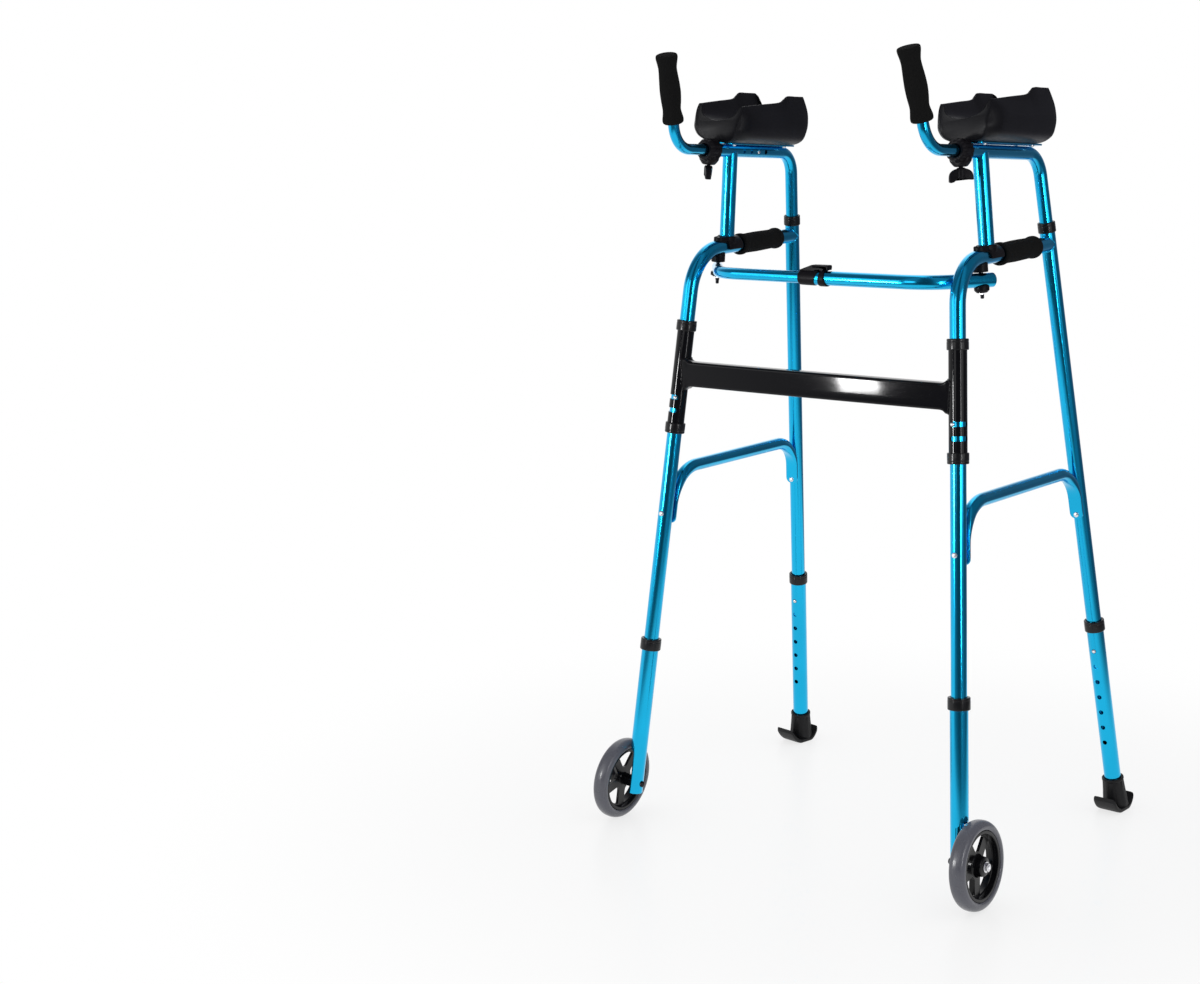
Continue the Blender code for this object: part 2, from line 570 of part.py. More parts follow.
def add_foot(side):
    """Rubber foot in the walker's directions: a rocker sole and a socket that leans."""
    frame = side_matrix(side.side)
    to_side = frame.inverted()
    ground = frame @ rear_axis(0)
    up = (frame.to_3x3() @ REAR_DIR).normalized()
    centre = Vector((ground.x, ground.y - FOOT_BACK, 0))
    yaw = Matrix.Rotation(math.radians(FOOT_YAW[side.side]), 4, "Z")
    base = Matrix.Translation(centre) @ yaw @ Matrix.Rotation(math.pi / 2, 4, "Z")
    half = SOLE_FLAT / 2
    front, back = half + FLAP_FRONT_RUN, half + FLAP_REAR_RUN
    rise, low, thick, sole = FLAP_RISE, FLAP_RISE * REAR_FLAP_SHARE, FLAP_THICK, SOLE_THICK
    outline = [
        (-half, 0), (half, 0), (half + FLAP_REAR_RUN * 0.55, low * 0.26), (back, low * 0.62),
        (back, low), (back - thick * 0.8, low + 0.5),
        (half + FLAP_REAR_RUN * 0.1, sole + low * 0.22), (half - 7, sole),
        (7 - half, sole), (-half - FLAP_FRONT_RUN * 0.1, sole + rise * 0.16),
        (thick * 0.9 - front, rise + 0.5), (-front, rise), (-front - 1.0, rise * 0.66),
        (-half - FLAP_FRONT_RUN * 0.6, rise * 0.24),
    ]
    mirror = Matrix.Diagonal((side.side, 1, 1, 1))
    local = mirror @ to_side
    sole_shape = moved(prism(outline, SOLE_WIDE / 2, base), local)
    foot = side.add("rear_foot", sole_shape, "black_rubber", rear_axis(REAR_EXT_LOW))
    low, high = 4.0, SOCKET_TOP_W
    point = ground
    profile = [(SOCKET_LOW_R, low), (SOCKET_LOW_R - 0.6, 16.0), (SOCKET_TOP_R, high - 1.5),
               (SOCKET_TOP_R - 0.8, high)]
    side.join(foot, moved(lathe(profile, point, up, Vector((1, 0, 0)), False), local))
    bore = [(LEG_OD / 2 + FIT, SOCKET_FLOOR_W), (LEG_OD / 2 + FIT, high + 6)]
    side.cut(foot, moved(lathe(bore, point, up, Vector((1, 0, 0)), False), local))


def add_wheel(side):
    """Tyre on a spoked rim that turns on a bolt through the half-cut leg."""
    half, r = WHEEL_WIDTH / 2, WHEEL_R
    tread = [
        (RIM_R + FIT, -half * 0.9), (r - 7.5, -half), (r - 2.5, -half * 0.8), (r, -half * 0.3),
        (r, half * 0.3), (r - 2.5, half * 0.8), (r - 7.5, half), (RIM_R + FIT, half * 0.9),
    ]
    up = -FRONT_DIR
    side.add("wheel_tyre", lathe(tread, AXLE, OUT, up, True, WHEEL_SIDES), "grey_tyre", AXLE)
    bore = AXLE_R + FIT
    rim = [
        (bore, -HUB_IN), (HUB_R - 1, -HUB_IN), (HUB_R, -WEB_HALF - 1), (RIM_IN_R, -WEB_HALF - 1),
        (RIM_IN_R + 0.8, -RIM_HALF), (RIM_R, -RIM_HALF), (RIM_R, RIM_HALF), (RIM_IN_R + 0.8, RIM_HALF),
        (RIM_IN_R, WEB_HALF - 1), (HUB_R + 3, WEB_HALF - 1), (HUB_R, HUB_OUT), (bore, HUB_OUT),
    ]
    hub = side.add("wheel_hub", lathe(rim, AXLE, OUT, up, True, WHEEL_SIDES), "black_plastic", AXLE)
    matrix = frame_on(AXLE, OUT, up)
    windows = []
    inner = SPOKE_WIDTH / 2 / math.sin(math.pi / SPOKES)
    for k in range(SPOKES):
        turn = matrix @ Matrix.Rotation(2 * math.pi * (k + 0.5) / SPOKES, 4, "Z")
        spread = math.pi / SPOKES - math.asin(SPOKE_WIDTH / 2 / WINDOW_OUT_R)
        start = max(WINDOW_IN_R, inner)
        narrow = math.pi / SPOKES - math.asin(SPOKE_WIDTH / 2 / start)
        corners = [(start, -narrow), (WINDOW_OUT_R, -spread), (WINDOW_OUT_R, 0),
                   (WINDOW_OUT_R, spread), (start, narrow)]
        windows.append(loft([
            [turn @ Vector((d * math.cos(a), d * math.sin(a), h)) for d, a in corners]
            for h in (-8.0, 8.0)
        ]))
    side.cut(hub, together(*windows))
    leg = -WHEEL_OFFSET - LEG_OD / 2
    bolt = [
        (3.0, leg - 3.6), (4.6, leg - 2.6), (4.6, leg - FIT), (AXLE_R, leg - FIT),
        (AXLE_R, HUB_OUT + FIT), (5.8, HUB_OUT + FIT), (5.8, HUB_OUT + 4.2), (3.2, HUB_OUT + 4.2),
        (3.2, HUB_OUT + 6.0),
    ]
    side.add("axle_bolt", lathe(bolt, AXLE, OUT, up, False, 12), "zinc", AXLE)


def add_handle_parts(side):
    """Foam grip, plus the spacer and bolt that hold the top bar under the handle."""
    middle = handle_axis((GRIP_FROM_U + GRIP_TO_U) / 2)
    half = (GRIP_TO_U - GRIP_FROM_U) / 2
    bore = MAIN_OD / 2 + FIT
    grip = [
        (bore, -half), (GRIP_BODY_R - 1, -half), (GRIP_FLARE_R, 3.5 - half),
        (GRIP_FLARE_R, 9.5 - half), (GRIP_BODY_R, 14 - half), (GRIP_BODY_R, half - 14),
        (GRIP_FLARE_R, half - 9.5), (GRIP_FLARE_R, half - 3.5), (GRIP_BODY_R - 1, half),
        (bore, half),
    ]
    side.add("handle_grip", lathe(grip, middle, HANDLE_DIR), "black_foam", middle)
    bar_r = (BAR_OUTER_OD if side.side == LEFT else BAR_INNER_OD) / 2
    under = MAIN_OD / 2 + PIVOT_GAP
    low = BAR_DROP - bar_r - SPACER_GAP
    spacer = [
        (SPACER_OD / 2 - 0.8, -low), (SPACER_OD / 2, -low + 0.8), (SPACER_OD / 2, -SPACER_TOP),
        (PIVOT_HOLE_R, -SPACER_TOP), (PIVOT_HOLE_R, -low),
    ]
    piece = side.add("pivot_spacer", lathe(spacer, PIVOT, PIVOT_DIR), "black_plastic", PIVOT)
    handle = rounded([front_axis(MAIN_END_W), HANDLE_FRONT, HANDLE_REAR], [HANDLE_BEND])
    side.cut(piece, pipe(handle, MAIN_OD / 2 + FIT))
    low = BAR_DROP + bar_r
    washer = [
        (WASHER_OD / 2 - 1.5, -low - 8.6), (WASHER_OD / 2, -low - 1), (WASHER_OD / 2 - 0.5, 3.5 - low),
    ]
    bolt = [
        (2.5, -low - 15.0), (2.5, -low - 11.6), (5.2, -low - 11.6), (5.2, -low - 6.0),
        (PIVOT_BOLT_R, -low - 6.0), (PIVOT_BOLT_R, under), (PIVOT_HEAD_R, under),
        (PIVOT_HEAD_R, under + 3.2), (PIVOT_HEAD_R - 0.8, under + 4.0),
    ]
    piece = side.add("pivot_bolt", lathe(washer, PIVOT, PIVOT_DIR, OUT, False, 16), "zinc", PIVOT)
    side.cut(piece, bar_tool(side, bar_r + FIT))
    side.join(piece, lathe(bolt, PIVOT, PIVOT_DIR, OUT, False, 12))


def bar_ends(side):
    """Pivot point of a top bar half, its open end, and its direction there, seen from above."""
    point = side_matrix(side) @ Vector((side * BAR_POINT.x, BAR_POINT.y, BAR_POINT.z))
    turn = math.radians(BAR_TURN[side])
    plan = Vector((side * math.cos(turn), math.sin(turn), 0))
    return point, point + plan * BAR_PAST_PIVOT[side], plan


def bar_tool(side, radius):
    """The end of a top bar half as a tool, in its side's frame."""
    point, end, plan = bar_ends(side.side)
    local = Matrix.Diagonal((side.side, 1, 1, 1)) @ side_matrix(side.side).inverted()
    return moved(pipe([point - plan * 20, end + plan * 5], radius, normal=Vector((0, 0, 1))), local)


def add_platform(side):
    """Platform tube with its post, the saddle under it and the plate on top of it."""
    tube = [platform_axis(CLAMP_STOP_U), PLATFORM_REAR, rear_axis(TOP_COLLAR_W - 55)]
    line = rounded(tube, [PLATFORM_BEND])
    frame = side.add("platform_frame", pipe(line, PLATFORM_OD / 2), "blue_tube", POST_FOOT)
    side.join(frame, pipe([POST_FOOT, POST_TOP - POST_DIR * 2], POST_OD / 2))
    bore = PLATFORM_OD / 2 - WALL
    line[0] = line[0] - PLATFORM_DIR * 4
    line[-1] = line[-1] - REAR_DIR * 4
    side.cut(frame, pipe(line, bore))
    inside = POST_TOP - POST_DIR * (PLATFORM_OD / 2 + 0.6)
    side.cut(frame, pipe([POST_FOOT - POST_DIR * 4, inside], POST_OD / 2 - WALL))
    holes = []
    for k in REACH_HOLES:
        point = platform_axis(REACH_HOLE_U + k * REACH_PITCH)
        holes.append(peg(point - OUT * (bore - 4), point - OUT * PLATFORM_OD, BUTTON_HOLE_R,
                         across=PLATFORM_DIR))
    side.cut(frame, together(*holes))

    middle = (SADDLE_FROM_U + SADDLE_TO_U) / 2
    half = (SADDLE_TO_U - SADDLE_FROM_U) / 2
    inner, outer = MAIN_OD / 2 + FIT, SADDLE_R
    steps = 10
    angles = [math.pi * k / steps for k in range(steps + 1)]
    outline = [(outer * math.cos(a), outer * math.sin(a)) for a in angles]
    outline += [(inner * math.cos(a), inner * math.sin(a)) for a in reversed(angles)]
    base = handle_axis(middle)
    matrix = frame_on(base, PIVOT_DIR, OUT)
    saddle = side.add("platform_saddle", prism(outline, half, matrix), "black_plastic", base)
    foot = handle_axis(POST_U)
    boss = [(SADDLE_BOSS_R, TONGUE_LOW), (SADDLE_BOSS_R, SADDLE_TOP - 0.8),
            (SADDLE_BOSS_R - 0.8, SADDLE_TOP)]
    side.join(saddle, lathe(boss, foot, PIVOT_DIR, OUT, False))
    turns = [math.pi * (0.5 + k / 8) for k in range(9)]
    tongue = [(TONGUE_R * math.cos(a), TONGUE_R * math.sin(a)) for a in turns]
    reach = POST_U - PIVOT_U
    tongue += [(reach, -SADDLE_BOSS_R * 0.9), (reach, SADDLE_BOSS_R * 0.9)]
    tall = (SADDLE_TOP - TONGUE_LOW) / 2
    matrix = frame_on(PIVOT + PIVOT_DIR * (TONGUE_LOW + tall), OUT, HANDLE_DIR)
    side.join(saddle, prism(tongue, tall, matrix))
    pocket = POST_FOOT - POST_DIR * 0.3
    side.cut(saddle, peg(pocket, pocket + POST_DIR * 12, POST_OD / 2 + FIT, SIDES))
    side.cut(saddle, peg(base - HANDLE_DIR * 60, base + HANDLE_DIR * 60, inner, SIDES, OUT))
    side.cut(saddle, peg(PIVOT, PIVOT + PIVOT_DIR * (SADDLE_TOP + 4), TONGUE_HOLE_R, 12))

    ends = [platform_axis(PLATE_FROM_U), platform_axis(PLATE_TO_U)]
    up = OUT.cross(PLATFORM_DIR)
    low = PLATFORM_OD / 2 + TROUGH_GAP
    matrix = frame_on(ends[0] + up * low, PLATFORM_DIR, OUT)
    wide = PLATE_WIDE / 2
    outline = [(-wide, 0), (wide, 0), (wide, (ends[1] - ends[0]).length),
               (-wide, (ends[1] - ends[0]).length)]
    shape = prism(outline, PLATE_THICK / 2, matrix)
    shape = moved(shape, Matrix.Translation(up * (PLATE_THICK / 2)))
    plate = side.add("trough_plate", shape, "blue_tube", ends[0])
    side.join(plate, together(*screws(SCREW_R, SCREW_HEAD_R, up, low)))
    side.add("forearm_trough", trough_shape(), "black_pad", platform_axis(40))
    trough = bpy.data.objects[f"forearm_trough{side.suffix}"]
    side.cut(trough, together(*screws(SCREW_R + FIT, 0, up, low)))


def screws(radius, head, up, low):
    """Four trough screws, or with no head the four holes that they go in."""
    shapes = []
    top = low + PLATE_THICK + (9.0 if head else 9.6)
    for u in SCREW_U:
        for n in (-SCREW_N, SCREW_N):
            point = platform_axis(u) + OUT * n
            if head:
                profile = [(head * 0.8, low - 2.2), (head, low - 1.4), (head, low + 0.6),
                           (radius, low + 0.6), (radius, top)]
            else:
                profile = [(radius, low), (radius, top)]
            shapes.append(lathe(profile, point, up, OUT, False, 8))
    return shapes


def along_table(table, value):
    """Straight-line reading of a table of (key, value) rows, held at its ends."""
    if value <= table[0][0]:
        return table[0][1]
    for (k0, v0), (k1, v1) in zip(table, table[1:]):
        if value <= k1:
            return v0 + (v1 - v0) * (value - k0) / (k1 - k0)
    return table[-1][1]


def trough_base():
    """Height of the trough's underside over u = 0, just clear of its plate."""
    return PLATFORM_HEIGHT + PLATFORM_OD / 2 + PLATE_THICK + 2 * TROUGH_GAP + 0.1


def trough_section(part, squeeze):
    """Outline of the trough, as (n, w) points, at a fraction of its length from the front."""
    rim = along_table(TROUGH_RIM, part)
    base = trough_base()
    half = TROUGH_HALF_FRONT + (TROUGH_HALF_EAR - TROUGH_HALF_FRONT) * min(1, part / 0.7)
    floor = along_table(((0, TROUGH_FLOOR_FRONT), (0.5, TROUGH_FLOOR_MID), (1, TROUGH_FLOOR_BACK)),
                        part)
    widest = TROUGH_HALF_MAX * squeeze
    low, wide, full, shoulder = (base + rise for rise in TROUGH_SWELL)
    shoulder += (rim - TROUGH_LOW_RIM) * TROUGH_EAR_LIFT
    top = half
    right = [
        (TROUGH_BASE_HALF * squeeze, base), (widest * 0.84, low), (widest * 0.97, wide),
        (widest, full), (max(widest * 0.96, top + 0.6), shoulder), (top, rim - 1.0), (top - TROUGH_RIM_THICK * 0.5, rim),
        (top - TROUGH_RIM_THICK, rim - 1.5), (top * 0.76, floor + (rim - floor) * 0.42),
        (top * 0.46, floor + (rim - floor) * 0.13),
    ]
    left = [(-n, w) for n, w in reversed(right)]
    return [(0.0, base), *right, (0.0, floor), *left]


def trough_shape():
    """Moulded forearm rest: an open channel with bulging sides and two rear ears."""
    stations = [(0.0, 0.74, 0.0), (0.0, 0.88, 7.0), (0.06, 0.97, 6.0), (0.16, 1.0, 0.0),
                (0.35, 1.0, 0.0), (0.574, 1.0, 0.0), (0.66, 1.0, 0.0), (0.736, 1.0, 0.0),
                (0.87, 0.99, 0.0), (0.97, 0.96, 0.0), (1.0, 0.92, 0.0)]
    base = trough_base()
    rings = []
    for part, squeeze, push in stations:
        ring = []
        for n, w in trough_section(part, squeeze):
            front, back = along_table(TROUGH_FRONT, w), along_table(TROUGH_BACK, w)
            outer = push if w < along_table(TROUGH_RIM, part) - 12 else push * 0.25
            u = front + (back - front) * part + outer
            tilt = PLATFORM_RISE * u * max(0.0, 1 - (w - base) / (TROUGH_FLOOR_BACK - base))
            ring.append(Vector((n, u, w + tilt)))
        rings.append(ring)
    return loft(rings)


def add_handgrip(side):
    """Bent tube that slides in the platform tube, its foam grip, its clamp and knob."""
    corner = platform_axis(GRIP_CORNER_U)
    lean = math.radians(GRIP_LEAN)
    up = Vector((0, math.cos(lean), math.sin(lean)))
    top = corner + up * (HAND_LOW + HAND_LONG - 6)
    path = rounded([platform_axis(GRIP_TUBE_END_U), corner, top], [GRIP_TUBE_BEND])
    bore = GRIP_TUBE_OD / 2 - WALL
    origin = platform_axis(REACH_HOLE_U)
    tube = side.add("handgrip_tube", pipe(path, GRIP_TUBE_OD / 2, bore, sides=16), "blue_tube", origin)
    side.cut(tube, peg(origin - OUT * (bore - 4), origin - OUT * GRIP_TUBE_OD, BUTTON_HOLE_R,
                       across=PLATFORM_DIR))
    matrix = Matrix((-OUT, OUT.cross(PLATFORM_DIR), PLATFORM_DIR)).transposed().to_4x4()
    matrix.translation = origin
    add_button(side, "platform_snap_button", bore, PLATFORM_OD / 2 + 1.4, matrix)

    low = corner + up * HAND_LOW
    inside = GRIP_TUBE_OD / 2 + FIT
    r, t = HAND_R, HAND_LONG
    profile = [
        (r - 2.0, 0), (r - 0.5, t * 0.02), (r - 0.6, t * 0.08), (r - 3.0, t * 0.19),
        (r - 1.4, t * 0.31), (r - 0.25, t * 0.46), (r - 1.2, t * 0.62), (r - 2.9, t * 0.8),
        (r - 0.4, t * 0.92), (r, t * 0.97), (r - 1.8, t),
    ]
    foam = side.add("handgrip_foam", lathe(profile, low, up, OUT, False), "black_foam", low)
    side.cut(foam, peg(low - up * 5, low + up * (t - 5.5), inside, SIDES, OUT))

    middle = platform_axis(CLAMP_TO_U)
    deep = (platform_axis(CLAMP_FROM_U) - middle).length
    stop = (platform_axis(CLAMP_STOP_U) - middle).length + 0.4
    r = CLAMP_R
    body = [
        (PLATFORM_OD / 2 + FIT, 0), (r - 1.5, 0), (r, 1.5), (r, deep - 4), (r - 3, deep),
        (GRIP_TUBE_OD / 2 + FIT, deep), (GRIP_TUBE_OD / 2 + FIT, stop), (PLATFORM_OD / 2 + FIT, stop),
    ]
    clamp = side.add("handgrip_clamp", lathe(body, middle, -PLATFORM_DIR), "black_plastic", middle)
    seat = platform_axis(KNOB_U)
    drop = OUT.cross(PLATFORM_DIR)
    under = seat - drop * (PLATFORM_OD / 2 + FIT + 1.6)
    boss_low = seat - drop * (seat.z - BOSS_LOW_W)
    side.join(clamp, peg(boss_low, under, BOSS_R, 12))
    side.cut(clamp, peg(boss_low - drop * 4, seat - drop * 6, 3.0 + FIT, 10))

    head = seat - drop * (seat.z - KNOB_TOP_W)
    turn = Matrix.Rotation(math.radians(KNOB_TURN[side.side]), 4, "Z")
    wing = frame_on(head, drop, OUT) @ turn
    steps = 8
    outline = [
        (KNOB_R * math.cos(math.pi * k / steps),
         -KNOB_TALL + KNOB_TALL * math.sin(math.pi * k / steps))
        for k in range(steps + 1)
    ]
    outline += [(-KNOB_R * 0.72, -KNOB_TALL - 1.0), (-KNOB_R * 0.3, -KNOB_TALL * 0.62),
                (KNOB_R * 0.3, -KNOB_TALL * 0.62), (KNOB_R * 0.72, -KNOB_TALL - 1.0)]
    knob = side.add("clamp_knob", prism(outline, KNOB_THICK / 2, wing), "black_plastic", head)
    side.join(knob, peg(head - drop * 5, seat - drop * (PLATFORM_OD / 2 + FIT), 3.0, 10))


def add_cross_member(middle, sides):
    """Black bar welded between the sleeves that the side frames turn in."""
    frames = {s.side: side_matrix(s.side) for s in sides}

    def across(shape, side):
        mirror = Matrix.Diagonal((side, 1, 1, 1))
        return moved(shape, frames[side] @ mirror)

    points = {}
    for s, frame in frames.items():
        low, high = (frame @ front_axis(w) for w in (SLEEVE_LOW, SLEEVE_HIGH))
        points[s] = low.lerp(high, (CROSS_HEIGHT - low.z) / (high.z - low.z))
    tall, thick, corner = CROSS_TALL / 2, CROSS_THICK / 2, CROSS_CORNER
    outline = []
    for y, z, start in ((1, 1, 0), (-1, 1, 90), (-1, -1, 180), (1, -1, 270)):
        for k in range(3):
            a = math.radians(start + 45 * k)
            outline.append((y * (thick - corner) + corner * math.cos(a),
                            z * (tall - corner) + corner * math.sin(a)))
    half = points[LEFT].x
    shoulder = half - LEG_OD / 2
    rings = []
    for part, swell in ((-1, 1.0), (-shoulder / half, 1.26), (-(shoulder - 4) / half, 1.1),
                        (-(shoulder - 9) / half, 1.0), (-0.5, 1.0), (0, 1.0), (0.5, 1.0),
                        ((shoulder - 9) / half, 1.0), ((shoulder - 4) / half, 1.1),
                        (shoulder / half, 1.26), (1, 1.0)):
        centre = points[RIGHT].lerp(points[LEFT], (part + 1) / 2)
        centre.y -= CROSS_BOW * (1 - part * part)
        rings.append([centre + Vector((0, y, z * swell)) for y, z in outline])
    bar = middle.add("cross_member", loft(rings), "black_paint")
    for s in sides:
        ends = [front_axis(SLEEVE_LOW), front_axis(SLEEVE_HIGH)]
        middle.join(bar, across(pipe(ends, LEG_OD / 2), s.side))
    for s in sides:
        ends = [front_axis(SLEEVE_LOW - 5), front_axis(SLEEVE_HIGH + 5)]
        middle.cut(bar, across(pipe(ends, LEG_BORE), s.side))
        slots = [slot_shape(w) for w in (SLOT_LOCK_W, SLOT_SPARE_W)]
        middle.cut(bar, across(together(*slots), s.side))
    for s in sides:
        top = collar(front_axis(SLEEVE_HIGH), FRONT_DIR, SLEEVE_COLLAR_OD / 2, SLEEVE_COLLAR_TALL,
                     LEG_OD / 2 + FIT, MAIN_OD / 2 + FIT + 0.15)
        s.add("sleeve_top_collar", top, "black_plastic", front_axis(SLEEVE_HIGH))
        low = collar(front_axis(SLEEVE_LOW), -FRONT_DIR, SLEEVE_COLLAR_OD / 2, SLEEVE_COLLAR_TALL,
                     LEG_OD / 2 + FIT, MAIN_OD / 2 + FIT + 0.15)
        s.add("sleeve_low_collar", low, "black_plastic", front_axis(SLEEVE_LOW))


def slot_shape(w):
    """Part ring that opens a sleeve from the front round to its outside."""
    steps = 8
    rings = []
    for k in range(steps + 1):
        turn = SLOT_FROM + (SLOT_TO - SLOT_FROM) * k / steps
        matrix = facing(front_axis(w), FRONT_DIR, turn)
        half = SLOT_TALL / 2
        rings.append([matrix @ Vector((r, 0, h)) for r, h in
                      ((LEG_BORE - 2, -half), (LEG_OD / 2 + 2, -half),
                       (LEG_OD / 2 + 2, half), (LEG_BORE - 2, half))])
    return loft(rings)


def add_top_bar(middle):
    """Telescopic top bar: an outer and an inner tube, and the lock where they meet."""
    up = Vector((0, 0, 1))
    for side, name, diameter, inner_x in ((LEFT, "crossbar_outer_tube", BAR_OUTER_OD, BAR_OUTER_END_X),
                                          (RIGHT, "crossbar_inner_tube", BAR_INNER_OD, BAR_INNER_END_X)):
        point, end, plan = bar_ends(side)
        corner = point + plan * ((BAR_Y - point.y) / plan.y)
        start = Vector((inner_x, BAR_Y, point.z))
        path = rounded([start, corner, end], [BAR_BEND])
        bar = middle.add(name, pipe(path, diameter / 2, diameter / 2 - WALL, up), "blue_tube", point)
        axis = (side_matrix(side).to_3x3()
                @ Vector((side * PIVOT_DIR.x, PIVOT_DIR.y, PIVOT_DIR.z))).normalized()
        middle.cut(bar, peg(point - axis * 20, point + axis * 20, PIVOT_BOLT_R + FIT, 10))
    height = bar_ends(LEFT)[0].z
    axis = Vector((0, BAR_Y, height))
    along = Vector((1, 0, 0))
    thin, thick = BAR_INNER_OD / 2 + FIT, BAR_OUTER_OD / 2 + FIT
    low, high = LOCK_LOW_X, LOCK_HIGH_X
    body = [
        (thin, low), (thick, low), (thick + 0.5, low + 2), (thick + 1.0, high - 1), (thick + 0.7, high),
        (thick, high), (thick, BAR_OUTER_END_X - 1), (thin, BAR_OUTER_END_X - 1),
    ]
    lock = middle.add("crossbar_lock_body", lathe(body, axis, along, up), "black_plastic", axis)
    top = thick + LEVER_LIFT + LEVER_THICK
    strap = thick + LEVER_LIFT - 0.4
    stop = LEVER_HINGE_X - 1.6
    wedge = [(low + 1, thin + 1), (low + 1, thick + 0.4), (stop - 1.4, top), (stop, top),
             (stop, strap), (RING_HIGH_X, strap), (RING_HIGH_X, thick + 0.9),
             (high, thick + 0.9), (high - 3, thin + 2.6)]
    middle.join(lock, moved(prism(wedge, LOCK_HALF_WIDTH), Matrix.Translation(axis)))
    ring = [(thick, RING_LOW_X), (thick + 1.6, RING_LOW_X), (thick + 1.6, RING_HIGH_X),
            (thick, RING_HIGH_X)]
    middle.join(lock, lathe(ring, axis, along, up))
    under = thick + LEVER_LIFT
    hinge = axis + Vector((LEVER_HINGE_X, 0, under + 1.0))
    tip, root = LEVER_TIP_X, LEVER_HINGE_X - 1.1
    outline = [
        (root, under), (tip - 3.0, under), (tip - 2.6, under - 0.6), (tip - 2.6, thick + 1.0),
        (tip, thick + 0.9), (tip + 0.2, under + 1.4), (tip - 1.6, top), (root + 0.7, top),
        (root, top - 0.8),
    ]
    lever = prism(outline, LOCK_HALF_WIDTH)
    middle.add("crossbar_lock_lever", moved(lever, Matrix.Translation(axis)), "black_plastic", hinge)


def main():
    clear_scene()
    middle = Side(CENTRE)
    sides = [Side(LEFT), Side(RIGHT)]
    add_cross_member(middle, sides)
    add_top_bar(middle)
    for side in sides:
        add_side_frame(side)
        add_brace(side)
        add_leg_parts(side)
        add_foot(side)
        add_wheel(side)
        add_handle_parts(side)
        add_platform(side)
        add_handgrip(side)


main()
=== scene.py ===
"""Looks of a folding platform walker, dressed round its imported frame.

Each side of the walker is flat and leans inwards at the top. Its pieces are worked out in
that side's own axes, in millimetres: n outwards from the walker, u rearwards and w up the
side. The pieces between the sides use the walker's axes: x across, y rearwards, z up from
the floor. Left and right are the user's. Every tube is a section carried along its centre
line, and every turned piece is a profile turned about its axis.
"""
from __future__ import annotations

import logging
import math
from dataclasses import dataclass, field
from enum import Enum
from typing import Any, Sequence

import bmesh
import bpy
import numpy as np
from mathutils import Matrix

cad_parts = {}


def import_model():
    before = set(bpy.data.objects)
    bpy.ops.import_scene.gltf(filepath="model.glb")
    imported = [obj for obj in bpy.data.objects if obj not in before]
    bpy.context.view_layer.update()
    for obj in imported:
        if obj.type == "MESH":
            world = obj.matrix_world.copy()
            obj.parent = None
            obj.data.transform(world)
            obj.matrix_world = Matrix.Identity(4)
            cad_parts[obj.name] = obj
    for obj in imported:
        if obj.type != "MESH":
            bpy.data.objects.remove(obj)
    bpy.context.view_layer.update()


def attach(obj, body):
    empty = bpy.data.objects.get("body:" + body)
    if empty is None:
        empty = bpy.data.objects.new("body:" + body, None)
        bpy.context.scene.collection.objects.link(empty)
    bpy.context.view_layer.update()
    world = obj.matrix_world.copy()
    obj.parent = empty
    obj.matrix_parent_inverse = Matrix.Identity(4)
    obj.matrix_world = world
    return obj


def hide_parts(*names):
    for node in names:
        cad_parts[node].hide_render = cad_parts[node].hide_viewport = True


Array = np.ndarray
Colour = tuple[float, float, float]
Pairs = tuple[tuple[float, float], ...]
Inputs = dict[int | str, Any]
Socket = bpy.types.NodeSocket
Thing = bpy.types.Object
log = logging.getLogger("walker")

MM = 0.001
OUT = np.array([1.0, 0.0, 0.0])
UP = np.array([0.0, 0.0, 1.0])
HALF_WIDTH, TOE, LEAN, FOOTPRINT_MIDDLE = 285.8, 0.015, 0.079, 83.5
WALL, FIT, SLIP = 1.1, 0.35, 0.15
MAIN_R, LEG_R, PLATFORM_R, POST_R, GRIP_TUBE_R = 11.1, 12.7, 9.5, 11.1, 8.0
LEG_END_W, HANDLE_BEND, AXLE_W, PIVOT_U, REACH_HOLE_U = 230.0, 65.0, 60.8, -14.0, 63.5
BUTTON_HOLE_R, BUTTON_PROUD = 3.55, 1.7
ROUND, CREASE, TINY = 72, 38.0, 1e-9


class Hand(Enum):
    """The user's left and right; the value is the sign of x."""

    LEFT = 1
    RIGHT = -1

    @property
    def tail(self) -> str:
        """Ending of the names on this side."""
        return self.name.lower()

    def of(self, pair: tuple[float, float]) -> float:
        """This side's value of a pair, left first."""
        return pair[self is Hand.RIGHT]


class Slot(Enum):
    """Material slots of the record."""

    TUBE = "blue_tube"
    PAINT = "black_paint"
    PLASTIC = "black_plastic"
    FOAM = "black_foam"
    PAD = "black_pad"
    RUBBER = "black_rubber"
    TYRE = "grey_tyre"
    ZINC = "zinc"


def unit(vector: Sequence[float] | Array) -> Array:
    """Vector scaled to length one."""
    vector = np.asarray(vector, float)
    return vector / np.linalg.norm(vector)


